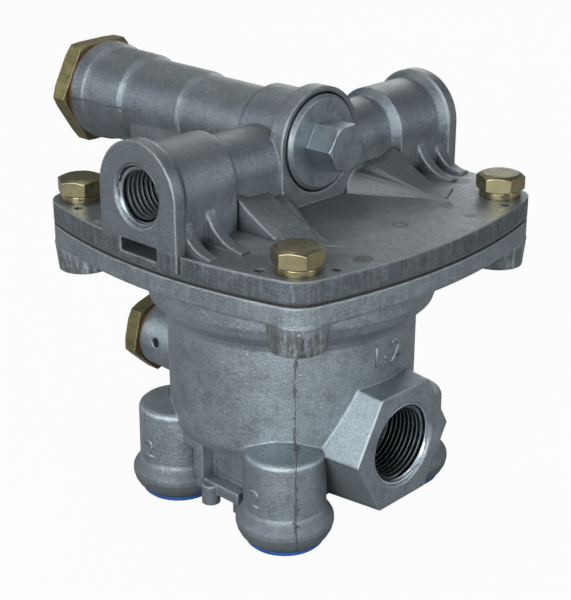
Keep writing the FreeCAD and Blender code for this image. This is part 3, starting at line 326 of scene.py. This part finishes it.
def cast_soil(paint, field, look, tone, soil, colour):
    """Soil on the deck, the corner bosses and the walls, and painted shade on the tops, on a ramp's flank, on
    the undersides and at the feet.
    """
    x, y, z, dirt = field.x, field.y, field.z, field.dirt
    # Upward faces darkened towards the soil colour: partly a soil film with smears, partly painted shade on
    # every top
    film = field.deck * (0.35 + dirt.step(0.36, 0.7) * 0.4) * soil
    colour = paint.mix(film, colour, shade(look.soil_and_shade_colour, 0.75))
    corner_x = abs(x) - CORNER_REACH
    corner_y = abs(y) - CORNER_REACH
    corner = 1 - ((corner_x * corner_x + corner_y * corner_y) ** 0.5).step(9.0, 16.0)
    corner = corner * field.wall * between(z, -30.0, -16.0, -9.0, -6.0)
    patches = (field.drawn * 0.6 + dirt * 0.4).step(0.38, 0.55)
    colour = paint.mix(corner * patches * 0.8, colour, shade(look.soil_and_shade_colour, 0.62))
    marks = deck_marks(paint, field)
    colour = paint.mix(marks * 0.85, colour, shade(look.grime_and_shade_colour, 0.6))
    # Painted shade: the flank of the ramp on the +Y side is darkened by place, standing for the shading of
    # its form
    ramp_shade = between(y, 9.0, 12.0, 33.0, 36.0) * between(x, 10.5, 12.0, 34.0, 38.0)
    ramp_shade = ramp_shade * between(z, 6.9, 7.6, 15.0, 17.0) * (1 - field.up.step(0.8, 0.95))
    colour = paint.mix(ramp_shade * 0.6, colour, shade(look.soil_and_shade_colour, 0.6))
    # Painted shade: the bottoms of the feet and all downward faces are darkened to a shaded copy of the cast
    # colour
    feet = (1 - z.step(FOOT_SHADE_TOP - 2.5, FOOT_SHADE_TOP)) * (0.45 + dirt * 0.5)
    under = ((1 - field.up.step(-0.6, -0.02)) * 0.5 + feet).smaller(0.9)
    colour = paint.mix(under, colour, shade(look.cast_colour, 0.3 * tone))
    smudge = paint.noise(0.16, 9.0, 0.78, 0.25).step(0.46, 0.64)
    colour = paint.mix(smudge * field.wall * 0.3, colour, shade(look.soil_and_shade_colour, 0.7))
    colour = paint.mix(field.speck.step(0.6, 0.72) * 0.4, colour, shade(look.soil_and_shade_colour, 0.62))
    field.under = under
    # Soil, stains and the painted shade together, where the finish is less metallic
    field.foul = (film * 0.55 + marks + ramp_shade * 0.7 + corner * 0.4 + under * 0.5).smaller(1)
    return colour


def cast_edges(paint, field, look, colour):
    """Grime and painted shade in the corners, and painted highlights on edges that also stand for rubbed
    wear.
    """
    # Darkening where the corners are enclosed: painted shade, with grime
    deep = (field.crevice.step(0.25, 0.85) * (0.5 + field.blotch * 0.7)).smaller(0.92)
    colour = paint.mix(deep, colour, shade(look.grime_and_shade_colour))
    # Lighter along open edges: painted highlights on the rounded edges, and rubbed wear
    open_edge = paint.edge(1.1).step(0.02, 0.2) * (1 - field.crevice.step(0.3, 0.5))
    return paint.mix(open_edge * (0.2 + field.speck * 0.6), colour, shade(look.bright_colour))


def cast_seams(paint, field, look, colour):
    """The ragged parting line down the front corner, with its smear, and that of the cross cylinder."""
    middle = abs((field.x + field.y) * math.sqrt(0.5) + (paint.noise(0.12, 3.0) - 0.5) * 1.4)
    width = paint.noise(0.14, 6.0, 0.75).step(0.45, 0.68) * 1.5 + 0.14
    low = (1 - (middle / width).step(0.6, 1.1)) * (1 - field.z.step(-8.0, -7.0))
    smear = field.drawn.step(0.3, 0.72) * (1 - middle.step(4.0, 14.0))
    smear = smear * between(field.z, -30.0, -16.0, -8.0, -5.0) * field.wall
    colour = paint.mix(smear * field.blotch.step(0.3, 0.6) * 0.6, colour, shade(look.soil_and_shade_colour, 0.9))
    level = abs(field.z - CROSS_AXIS_HEIGHT + (field.cloud - 0.5) * 2.0)
    high = (1 - level.step(0.1, 0.3)) * (1 - field.x.step(-59.0, -55.0))
    field.seam = (low + high * 0.6).smaller(1)
    return paint.mix(field.seam * (0.25 + field.speck * 0.7), colour, shade(look.grime_and_shade_colour, 1.4))


def cast_finish(name, look, tone, soil, streak):
    """Grey cast alloy with a fine skin, seam lines, grime and painted shade in its corners, and painted
    highlights on its rubbed edges.
    """
    paint = Paint(name)
    field = cast_field(paint)
    colour = cast_skin(paint, field, look, tone, streak)
    colour = cast_soil(paint, field, look, tone, soil, colour)
    colour = cast_edges(paint, field, look, colour)
    colour = cast_seams(paint, field, look, colour)
    metal = 0.9 - field.foul * 0.75
    rough = 0.24 + field.dirt * 0.3 + field.crevice * 0.2 + field.under * 0.35
    bump = field.grain * 0.75 + field.speck * 0.7 + field.seam * (0.6 + field.speck * 2.2)
    bump = bump + (field.drawn * field.rim) * 0.5
    return paint.finish(colour, rough.smaller(0.9), metal, bump, 0.2, 1.1)


def thread_finish(name, look, tone):
    """Cut metal inside a port, cloudy, with painted shade at the roots of the thread."""
    paint = Paint(name)
    cloud = paint.noise(0.5, 6.0, 0.65)
    colour = paint.mix(cloud.step(0.35, 0.7), shade(look.cast_colour, 1.4 * tone),
                       shade(look.cast_colour, 0.9 * tone))
    # Painted shade at the roots of the thread
    colour = paint.mix(paint.crevice(0.9).step(0.5, 0.95) * 0.7, colour, shade(look.grime_and_shade_colour))
    return paint.finish(colour, 0.3 + cloud * 0.2, 0.7, cloud, 0.05, 0.12)


def turned_finish(name, look):
    """Machined alloy with fine turning lines round the X axis, painted shade in its corners and painted
    highlights on its edges.
    """
    paint = Paint(name)
    y, z = paint.parts(paint.milli)[1:]
    height = z - CROSS_AXIS_HEIGHT
    lines = ((y * y + height * height) ** 0.5 * 9.0).wave()
    blotch = paint.noise(0.25, 7.0, 0.65, 0.5)
    crevice = paint.crevice(3.0)
    edge = paint.edge(0.5)
    colour = paint.mix(blotch.step(0.35, 0.7), shade(look.cast_colour, 1.0), shade(look.cast_colour, 0.7))
    colour = paint.mix(blotch.step(0.55, 0.75) * 0.5, colour, shade(look.soil_and_shade_colour, 0.9))
    # Painted shade in the corners
    colour = paint.mix(crevice.step(0.3, 0.9) * 0.8, colour, shade(look.grime_and_shade_colour))
    # Painted highlight along the open edges
    colour = paint.mix(edge.step(0.02, 0.2) * (1 - crevice.step(0.3, 0.5)) * 0.7, colour,
                       shade(look.bright_colour, 1.1))
    bump = lines * 0.12 + paint.noise(1.6, 5.0) * 0.7
    return paint.finish(colour, 0.32 + blotch * 0.22, 0.85, bump, 0.06, 0.35)


def zinc_finish(name, look):
    """Yellow passivated zinc, uneven, with painted shade on its tops and in its corners, and painted
    highlights on its edges that also stand for wear.
    """
    paint = Paint(name)
    tint = paint.noise(0.22, 5.0, 0.6, 1.2)
    blotch = paint.noise(0.5, 7.0, 0.7)
    edge = paint.edge(0.4)
    up = paint.parts(paint.normal())[2].step(0.6, 0.95)
    crevice = paint.crevice(2.0)
    colour = paint.mix(tint.step(0.35, 0.65), shade(look.zinc_colour), (0.38, 0.325, 0.18, 1))
    colour = paint.mix(paint.noise(0.3, 4.0, 0.5, 2.0).step(0.55, 0.7) * 0.5, colour,
                       (0.27, 0.28, 0.17, 1))
    # Darker blotches, and painted shade darkening the upward tops
    colour = paint.mix((blotch.step(0.5, 0.72) * 0.6 + up * 0.78).smaller(0.88), colour,
                       (0.07, 0.066, 0.045, 1))
    # Painted shade in the corners
    colour = paint.mix(crevice.step(0.35, 0.95) * 0.8, colour, (0.05, 0.045, 0.03, 1))
    # Painted highlight along the edges, also standing for wear
    colour = paint.mix(edge.step(0.03, 0.2) * (1 - crevice.step(0.4, 0.6)) * 0.6, colour,
                       (0.66, 0.6, 0.42, 1))
    return paint.finish(colour, 0.13 + blotch * 0.22 + up * 0.25, 0.95, paint.noise(1.2, 5.0), 0.03, 0.3)


def brass_finish(name, look):
    """Dull brass bar, with faint cutting marks, darker stains, painted shade in its corners and painted
    highlights on its edges.
    """
    paint = Paint(name)
    stain = paint.noise(0.2, 7.0, 0.65, 0.8)
    marks = paint.noise(1.2, 4.0, 0.6, at=paint.scaled(paint.milli, (0.08, 1.0, 1.0)))
    edge = paint.edge(0.5)
    crevice = paint.crevice(3.0)
    colour = paint.mix(stain.step(0.35, 0.7), shade(look.brass_colour), shade(look.brass_colour, 0.6))
    colour = paint.mix(marks.step(0.4, 0.7) * 0.35, colour, shade(look.brass_colour, 1.4))
    # Painted shade in the corners
    colour = paint.mix(crevice.step(0.35, 0.95) * 0.7, colour, (0.05, 0.04, 0.025, 1))
    # Painted highlight along the edges
    colour = paint.mix(edge.step(0.03, 0.2) * 0.6, colour, (0.55, 0.5, 0.3, 1))
    return paint.finish(colour, 0.34 + stain * 0.22, 0.9, marks * 0.6 + paint.noise(1.5, 5.0) * 0.4,
                        0.07, 0.35)


def plastic_finish(name, colour):
    """Moulded plastic with a faint skin texture."""
    paint = Paint(name)
    cloud = paint.noise(0.3, 4.0)
    scuff = paint.noise(0.9, 7.0, 0.7).step(0.58, 0.72)
    body = paint.mix(cloud.step(0.3, 0.7), shade(colour, 0.85), shade(colour, 1.15))
    body = paint.mix(scuff * 0.25, body, (0.35, 0.38, 0.42, 1))
    return paint.finish(body, 0.42 + cloud * 0.15, 0.0, paint.noise(3.0, 3.0), 0.03, 0.25)


def rubber_finish(name, colour):
    """Dark matt rubber or fibre with a fine grain."""
    paint = Paint(name)
    cloud = paint.noise(0.4, 5.0)
    dust = paint.noise(1.2, 6.0, 0.7).step(0.55, 0.75)
    body = paint.mix(cloud.step(0.3, 0.7), shade(colour, 0.75), shade(colour, 1.25))
    body = paint.mix(dust * 0.3, body, (0.16, 0.155, 0.15, 1))
    return paint.finish(body, 0.62 + cloud * 0.2, 0.0, paint.noise(2.5, 5.0), 0.05, 0.2)


def steel_finish(name):
    """Bright spring or washer steel under a thin oil film."""
    paint = Paint(name)
    cloud = paint.noise(0.35, 6.0, 0.6)
    body = paint.mix(cloud.step(0.35, 0.7), (0.42, 0.42, 0.41, 1), (0.22, 0.215, 0.2, 1))
    return paint.finish(body, 0.28 + cloud * 0.2, 0.95, paint.noise(2.0, 5.0), 0.03, 0.2)


def put_finish(material, *names):
    """Give CAD nodes their finish."""
    for name in names:
        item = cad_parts[name]
        item.data.materials.clear()
        item.data.materials.append(material)
        for polygon in item.data.polygons:
            polygon.material_index = 0


# Modelling helpers

def clear_selection():
    if bpy.context.object and bpy.context.object.mode != "OBJECT":
        bpy.ops.object.mode_set(mode="OBJECT")
    bpy.ops.object.select_all(action="DESELECT")


def pick(item):
    clear_selection()
    item.select_set(True)
    bpy.context.view_layer.objects.active = item


def settle(item, place):
    """Move a finished piece by a matrix, and leave that move in its mesh."""
    pick(item)
    item.matrix_world = place @ item.matrix_world
    bpy.ops.object.transform_apply(location=True, rotation=True, scale=True)


def modifier(item, kind, **settings):
    """Add a modifier with these settings, and apply it."""
    pick(item)
    bpy.ops.object.modifier_add(type=kind)
    added = item.modifiers[-1]
    for key, value in settings.items():
        setattr(added, key, value)
    bpy.ops.object.modifier_apply(modifier=added.name)


def smooth(item):
    pick(item)
    bpy.ops.object.shade_smooth_by_angle(angle=math.radians(SMOOTH_ANGLE))


def at(spot):
    """A spot in millimetres from the joint's middle, as a place in the frame."""
    return (Vector(spot) + JOINT) * MM


def turn_to(axis, spot):
    """The matrix that takes local Z to an axis, at a spot."""
    turn = Vector(axis).to_track_quat("Z", "Y").to_matrix().to_4x4()
    return Matrix.Translation(at(spot)) @ turn


def thread_sleeve(name, major, pitch, depth, length, axis, spot, material):
    """An inner screw thread that lines a bored hole from its mouth inwards."""
    clear_selection()
    bpy.ops.mesh.primitive_plane_add(size=pitch * MM, location=(major * MM, 0, 0))
    item = bpy.context.object
    item.name = name
    bpy.ops.object.transform_apply(location=True, rotation=True, scale=True)
    for index, vertex in enumerate(item.data.vertices):
        vertex.select = index == 0
    item.data.vertices[0].co = (major * MM, 0, 0)
    bpy.ops.object.mode_set(mode="EDIT")
    bpy.ops.mesh.select_mode(type="VERT")
    bpy.ops.mesh.select_all(action="INVERT")
    bpy.ops.mesh.delete(type="VERT")
    bpy.ops.mesh.select_all(action="SELECT")
    for inward, rise in THREAD_STROKES:
        move = (inward * depth * MM, 0, rise * pitch * MM)
        bpy.ops.mesh.extrude_region_move(TRANSFORM_OT_translate={"value": move})
    bpy.ops.object.mode_set(mode="OBJECT")
    turns = int(length / pitch) + 2
    modifier(item, "SCREW", axis="Z", angle=math.tau, steps=THREAD_STEPS, render_steps=THREAD_STEPS,
             screw_offset=pitch * MM, iterations=turns, use_merge_vertices=True,
             merge_threshold=0.000001)
    pick(item)
    bpy.ops.object.mode_set(mode="EDIT")
    bpy.ops.mesh.select_all(action="SELECT")
    bpy.ops.mesh.remove_doubles(threshold=0.000002)
    bpy.ops.mesh.bisect(plane_co=(0, 0, pitch * MM), plane_no=(0, 0, 1), clear_inner=True)
    bpy.ops.mesh.select_all(action="SELECT")
    bpy.ops.mesh.bisect(plane_co=(0, 0, (pitch + length) * MM), plane_no=(0, 0, 1), clear_outer=True)
    bpy.ops.mesh.select_all(action="SELECT")
    bpy.ops.mesh.normals_make_consistent(inside=True)
    bpy.ops.object.mode_set(mode="OBJECT")
    for vertex in item.data.vertices:
        # The crest rises over most of the first turn, so that the mouth stays round
        rise = min(1.0, max(0.0, (vertex.co.z / MM - pitch) / (CREST_RISE * pitch)))
        reach = math.hypot(vertex.co.x, vertex.co.y)
        by = (major * MM - (major * MM - reach) * rise) / reach
        vertex.co = (vertex.co.x * by, vertex.co.y * by, vertex.co.z)
    modifier(item, "SOLIDIFY", thickness=THREAD_WALL * MM, offset=-1.0)
    pick(item)
    bpy.ops.object.mode_set(mode="EDIT")
    bpy.ops.mesh.select_all(action="SELECT")
    bpy.ops.mesh.normals_make_consistent(inside=False)
    bpy.ops.object.mode_set(mode="OBJECT")
    settle(item, turn_to([-part for part in axis], spot) @ Matrix.Translation((0, 0, -pitch * MM)))
    smooth(item)
    item.data.materials.append(material)
    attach(item, "housing")


def web_spot(edge, share, drop, way):
    """A spot on a web's edge, a share of the way down to the bolt."""
    along = edge["start"] + edge["length"] * share
    side = edge["side"] + edge["spread"] * share
    return (along, way * side, edge["low"] + edge["rise"] * drop)


def cast_web(name, rows, floor, material):
    """A cast web, its top given row by row in millimetres, that goes straight down to a floor."""
    clear_selection()
    across = len(rows[0])
    bpy.ops.mesh.primitive_grid_add(x_subdivisions=across - 1, y_subdivisions=len(rows) - 1, size=MM)
    item = bpy.context.object
    item.name = name
    order = sorted(item.data.vertices, key=lambda vertex: (round(vertex.co.y, 6), vertex.co.x))
    spots = [spot for row in rows for spot in row]
    for vertex, spot in zip(order, spots):
        vertex.co = at(spot)
    bpy.ops.object.mode_set(mode="EDIT")
    bpy.ops.mesh.select_all(action="SELECT")
    bpy.ops.mesh.extrude_region_move(TRANSFORM_OT_translate={"value": (0, 0, -MM)})
    bpy.ops.object.mode_set(mode="OBJECT")
    level = at((0, 0, floor)).z
    for vertex in item.data.vertices:
        if vertex.select:
            vertex.co.z = level
    bpy.ops.object.mode_set(mode="EDIT")
    bpy.ops.mesh.select_all(action="SELECT")
    bpy.ops.mesh.normals_make_consistent(inside=False)
    bpy.ops.object.mode_set(mode="OBJECT")
    modifier(item, "BEVEL", width=WEB_EDGE * MM, segments=3, limit_method="ANGLE",
             angle_limit=math.radians(SMOOTH_ANGLE))
    smooth(item)
    item.data.materials.append(material)
    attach(item, "housing")


def raised_number(name, words, height, spot, facing, material):
    """Cast figures that stand out from a wall, upright and facing outwards."""
    clear_selection()
    bpy.ops.object.text_add(location=(0, 0, 0))
    item = bpy.context.object
    item.name = name
    item.data.body = words
    item.data.align_x = "CENTER"
    item.data.align_y = "CENTER"
    item.data.size = height * TYPE_SIZE_SHARE * MM
    item.data.extrude = FIGURE_DEPTH * 0.5 * MM
    item.data.offset = -FIGURE_THINNING * MM
    item.data.bevel_depth = FIGURE_EDGE * MM
    item.data.bevel_resolution = 1
    bpy.ops.object.convert(target="MESH")
    item = bpy.context.object
    item.name = name
    away = Vector(facing).normalized()
    side = Vector((0, 0, 1)).cross(away).normalized()
    rise = away.cross(side)
    turn = Matrix((side, rise, away)).transposed().to_4x4()
    settle(item, Matrix.Translation(at(spot)) @ turn)
    pick(item)
    bpy.ops.object.mode_set(mode="EDIT")
    bpy.ops.mesh.select_all(action="SELECT")
    bpy.ops.mesh.remove_doubles(threshold=0.000005)
    bpy.ops.object.mode_set(mode="OBJECT")
    item.data.materials.clear()
    item.data.materials.append(material)
    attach(item, "housing")


# Settings

class RelayFinishSettings(bpy.types.PropertyGroup):
    cast_colour: FloatVectorProperty(name="Cast alloy", description="Bare cast housing", subtype="COLOR",
                                     size=3, min=0, max=1, default=(0.275, 0.322, 0.35))
    # Also the colour of painted shade on the tops and on a ramp's flank, besides soil, smudges and specks
    soil_and_shade_colour: FloatVectorProperty(name="Soil", description="Brownish film on upward faces",
                                     subtype="COLOR", size=3, min=0, max=1, default=(0.125, 0.128, 0.12))
    # Also the colour of painted shade in corners and at thread roots, besides stains and seam lines
    grime_and_shade_colour: FloatVectorProperty(name="Grime", description="Dirt in corners", subtype="COLOR",
                                      size=3, min=0, max=1, default=(0.04, 0.04, 0.039))
    # The colour of painted highlights along edges, which also stand for rubbed wear
    bright_colour: FloatVectorProperty(name="Bright edges", description="Rubbed edges", subtype="COLOR",
                                       size=3, min=0, max=1, default=(0.55, 0.57, 0.585))
    zinc_colour: FloatVectorProperty(name="Yellow zinc", description="Bolts and washers", subtype="COLOR",
                                     size=3, min=0, max=1, default=(0.42, 0.385, 0.225))
    brass_colour: FloatVectorProperty(name="Brass", description="Rear cap and side plug", subtype="COLOR",
                                      size=3, min=0, max=1, default=(0.22, 0.195, 0.09))
    plug_colour: FloatVectorProperty(name="Blue plastic", description="Dust plugs", subtype="COLOR",
                                     size=3, min=0, max=1, default=(0.012, 0.07, 0.28))


class RelayThreadSettings(bpy.types.PropertyGroup):
    pitch: FloatProperty(name="Pitch", description="Thread pitch of all ports in millimetres",
                         default=1.5, min=0.5, max=3)
    supply_major: FloatProperty(name="Supply thread radius", description="In millimetres",
                                default=12.0, min=5, max=20)
    control_major: FloatProperty(name="Control thread radius", description="In millimetres",
                                 default=8.0, min=3, max=15)
    depth: FloatProperty(name="Thread depth", description="In millimetres", default=0.85, min=0.2, max=2)
    figure_height: FloatProperty(name="Figure height", description="Cast figures, in millimetres",
                                 default=5.6, min=2, max=12)


class RelayStageSettings(bpy.types.PropertyGroup):
    azimuth: FloatProperty(name="Camera azimuth", subtype="ANGLE", description="From the front, to the right",
                           default=math.radians(43.45))
    elevation: FloatProperty(name="Camera elevation", subtype="ANGLE", description="Above the horizon",
                             default=math.radians(21.95))
    distance: FloatProperty(name="Camera distance", unit="LENGTH", description="From the middle of the valve",
                            default=0.40231, min=0.1)
    lens: FloatProperty(name="Lens", description="Focal length in millimetres", default=82.666, min=10)


# Operators

class RelayCastings(bpy.types.Operator):
    """Finish the two castings and the turned front plug"""
    bl_idname = "relay.castings"
    bl_label = "Castings"

    def execute(self, context):
        look = context.scene.relay_finish
        put_finish(cast_finish("cast_alloy_upper", look, 0.78, 1.0, 0.7), "upper_housing")
        put_finish(cast_finish("cast_alloy_lower", look, 1.2, 0.25, 0.3), "lower_housing")
        put_finish(turned_finish("turned_alloy", look), "front_plug", "relay_piston", "control_spool")
        return {"FINISHED"}


class RelayFittings(bpy.types.Operator):
    """Finish bolts, washers, caps, plugs and seals"""
    bl_idname = "relay.fittings"
    bl_label = "Fittings"

    def execute(self, context):
        look = context.scene.relay_finish
        numbers = range(1, 5)
        put_finish(zinc_finish("yellow_zinc", look),
                   *["corner_bolt_%d" % n for n in numbers], *["spring_washer_%d" % n for n in numbers])
        put_finish(brass_finish("brass", look), "rear_cap", "side_plug", "valve_guide", "check_valve",
                   "inlet_valve")
        put_finish(plastic_finish("blue_plastic", look.plug_colour),
                   *["dust_plug_%d" % n for n in numbers])
        put_finish(rubber_finish("black_rubber", (0.018, 0.018, 0.018)), "flange_gasket", "exhaust_flap",
                   "front_plug_seal", "spool_seal_front", "spool_seal_rear", "relay_piston_seal",
                   "stem_seal", "inlet_valve_face", "check_valve_seal")
        put_finish(rubber_finish("brown_fibre", (0.085, 0.03, 0.02)), "rear_cap_seal", "side_plug_seal")
        put_finish(steel_finish("spring_steel"), "spool_spring", "check_spring", "inlet_spring",
                   "guide_retaining_ring")
        put_finish(plastic_finish("black_plastic", (0.02, 0.02, 0.021)), "exhaust_cover")
        return {"FINISHED"}


class RelayThreads(bpy.types.Operator):
    """Line the open ports with their screw threads"""
    bl_idname = "relay.threads"
    bl_label = "Port threads"

    def execute(self, context):
        sizes = context.scene.relay_threads
        # Two copies of one thread finish: painted light in the supply port, painted shade in the narrow
        # control ports
        lit_thread_finish = thread_finish("thread_alloy_wide", context.scene.relay_finish, 1.6)
        shaded_thread_finish = thread_finish("thread_alloy_narrow", context.scene.relay_finish, 0.6)
        thread_sleeve("supply_port_thread", sizes.supply_major, sizes.pitch, sizes.depth,
                      SUPPLY_THREAD_LENGTH, (1, 0, 0), SUPPLY_MOUTH, lit_thread_finish)
        for way, side in ((-1, "left"), (1, "right")):
            mouth = (0, way * CONTROL_MOUTH_REACH, CONTROL_PORT_HEIGHT)
            thread_sleeve("control_port_thread_" + side, sizes.control_major, sizes.pitch, sizes.depth,
                          CONTROL_THREAD_LENGTH, (0, way, 0), mouth, shaded_thread_finish)
        return {"FINISHED"}


class RelayWebs(bpy.types.Operator):
    """Widen the cast webs that run from the control port bosses down to the front bolts"""
    bl_idname = "relay.webs"
    bl_label = "Cast webs"

    def execute(self, context):
        high = bpy.data.materials["cast_alloy_upper"]
        for way, side in ((-1, "left"), (1, "right")):
            rows = []
            for step in range(WEB_ROWS):
                share = step / (WEB_ROWS - 1)
                drop = (1 - share) ** 1.25
                outer = web_spot(WEB_OUTER, share, drop, way)
                inner = web_spot(WEB_INNER, share, drop, way)
                middle = [(first + last) * 0.5 for first, last in zip(outer, inner)]
                middle[2] = middle[2] - WEB_SAG * drop
                foot = (inner[0] + 1.0, inner[1] - way * (1.0 + 3.0 * drop), WEB_FLOOR + 0.5)
                rows.append((outer, middle, inner, foot))
            cast_web("corner_web_" + side, rows, WEB_FLOOR, high)
        return {"FINISHED"}


class RelayFigures(bpy.types.Operator):
    """Raise the cast port numbers on the lower housing"""
    bl_idname = "relay.figures"
    bl_label = "Cast figures"

    def execute(self, context):
        sizes = context.scene.relay_threads
        low = bpy.data.materials["cast_alloy_lower"]
        for name, spot in PORT_FIGURES:
            raised_number("port_figure_" + name, "2", sizes.figure_height, spot, (0, -1, 0), low)
        raised_number("supply_figure", "1-2", sizes.figure_height * SUPPLY_FIGURE_SHARE,
                      SUPPLY_FIGURE_SPOT, (1, 0, 0), low)
        return {"FINISHED"}


class RelayStage(bpy.types.Operator):
    """Set the floor, lamps, world and camera"""
    bl_idname = "relay.stage"
    bl_label = "Stage"

    def execute(self, context):
        clear_selection()
        self.floor()
        self.world(context.scene)
        for lamp in LAMPS:
            self.lamp(*lamp)
        self.camera(context.scene)
        context.scene.view_settings.view_transform = "Standard"
        return {"FINISHED"}

    def floor(self):
        """A grey floor that is nearly white to the camera, with a trace of its shadow."""
        bpy.ops.mesh.primitive_plane_add(size=6.0, location=(0, 0, CAD_BOX[0][2] - 0.2 * MM))
        floor = bpy.context.object
        floor.name = "studio_floor"
        paint = Paint("studio_white")
        paint.finish((0.32, 0.32, 0.32, 1), 0.8, 0.0)
        rays = paint.add("ShaderNodeLightPath", output="Is Camera Ray")
        mixed = paint.add("ShaderNodeMixShader", None, {
            0: rays * 0.97,
            1: Socket(paint, paint.shader.outputs[0]),
            2: paint.add("ShaderNodeEmission", None, {"Color": (1, 1, 1, 1), "Strength": 1.0}),
        })
        out = [item for item in paint.tree.nodes if item.type == "OUTPUT_MATERIAL"][0]
        paint.tree.links.new(mixed.socket, out.inputs["Surface"])
        floor.data.materials.append(paint.material)

    def world(self, scene):
        """A soft grey room, a little darker overhead, and white to the camera."""
        world = bpy.data.worlds.new("studio_world")
        scene.world = world
        world.use_nodes = True
        nodes = world.node_tree.nodes
        links = world.node_tree.links
        nodes.clear()
        sky = nodes.new("ShaderNodeTexCoord")
        height = nodes.new("ShaderNodeSeparateXYZ")
        ramp = nodes.new("ShaderNodeValToRGB")
        for element, position, colour in zip(ramp.color_ramp.elements, (0.12, 0.75),
                                             ((0.25, 0.27, 0.29, 1), (0.20, 0.212, 0.222, 1))):
            element.position = position
            element.color = colour
        soft = nodes.new("ShaderNodeBackground")
        white = nodes.new("ShaderNodeBackground")
        white.inputs["Color"].default_value = (1, 1, 1, 1)
        path = nodes.new("ShaderNodeLightPath")
        blend = nodes.new("ShaderNodeMixShader")
        end = nodes.new("ShaderNodeOutputWorld")
        links.new(sky.outputs["Generated"], height.inputs[0])
        links.new(height.outputs[2], ramp.inputs[0])
        links.new(ramp.outputs[0], soft.inputs["Color"])
        links.new(path.outputs["Is Camera Ray"], blend.inputs[0])
        links.new(soft.outputs[0], blend.inputs[1])
        links.new(white.outputs[0], blend.inputs[2])
        links.new(blend.outputs[0], end.inputs["Surface"])

    def camera(self, scene):
        """The camera at the photograph's angle."""
        view = scene.relay_stage
        bpy.ops.object.camera_add()
        camera = bpy.context.object
        camera.name = "photo_camera"
        way = Vector((math.sin(view.azimuth) * math.cos(view.elevation),
                      -math.cos(view.azimuth) * math.cos(view.elevation), math.sin(view.elevation)))
        camera.location = at(CAMERA_TARGET) + way * view.distance
        camera.rotation_euler = (-way).to_track_quat("-Z", "Y").to_euler()
        camera.data.lens = view.lens
        camera.data.sensor_width = 36.0
        camera.data.shift_x, camera.data.shift_y = CAMERA_SHIFT
        camera.data.clip_start = 0.01
        scene.camera = camera

    def lamp(self, name, spot, size, power):
        """A square soft lamp that faces the valve, placed in metres from the joint's middle."""
        bpy.ops.object.light_add(type="AREA", location=at((0, 0, 0)) + Vector(spot))
        item = bpy.context.object
        item.name = name
        item.data.size = size
        item.data.energy = power
        away = Vector(spot) - Vector(LAMP_TARGET)
        item.rotation_euler = away.to_track_quat("Z", "Y").to_euler()


class RelayPanel(bpy.types.Panel):
    """Lists the steps and their settings"""
    bl_idname = "VIEW3D_PT_relay_valve"
    bl_label = "Relay valve"
    bl_space_type = "VIEW_3D"
    bl_region_type = "UI"
    bl_category = "Relay valve"

    def draw(self, context):
        layout = self.layout
        for group in (context.scene.relay_finish, context.scene.relay_threads, context.scene.relay_stage):
            for key in group.__annotations__:
                layout.prop(group, key)
        for operator in OPERATORS:
            layout.operator(operator.bl_idname)


OPERATORS = (RelayCastings, RelayFittings, RelayThreads, RelayWebs, RelayFigures, RelayStage)
CLASSES = (RelayFinishSettings, RelayThreadSettings, RelayStageSettings) + OPERATORS + (RelayPanel,)


def register():
    for item in CLASSES:
        bpy.utils.register_class(item)
    bpy.types.Scene.relay_finish = PointerProperty(type=RelayFinishSettings)
    bpy.types.Scene.relay_threads = PointerProperty(type=RelayThreadSettings)
    bpy.types.Scene.relay_stage = PointerProperty(type=RelayStageSettings)


def unregister():
    del bpy.types.Scene.relay_stage
    del bpy.types.Scene.relay_threads
    del bpy.types.Scene.relay_finish
    for item in reversed(CLASSES):
        bpy.utils.unregister_class(item)


def main():
    register()
    bpy.ops.relay.castings()
    bpy.ops.relay.fittings()
    bpy.ops.relay.threads()
    bpy.ops.relay.webs()
    bpy.ops.relay.figures()
    bpy.ops.relay.stage()


if __name__ == "__main__":
    main()
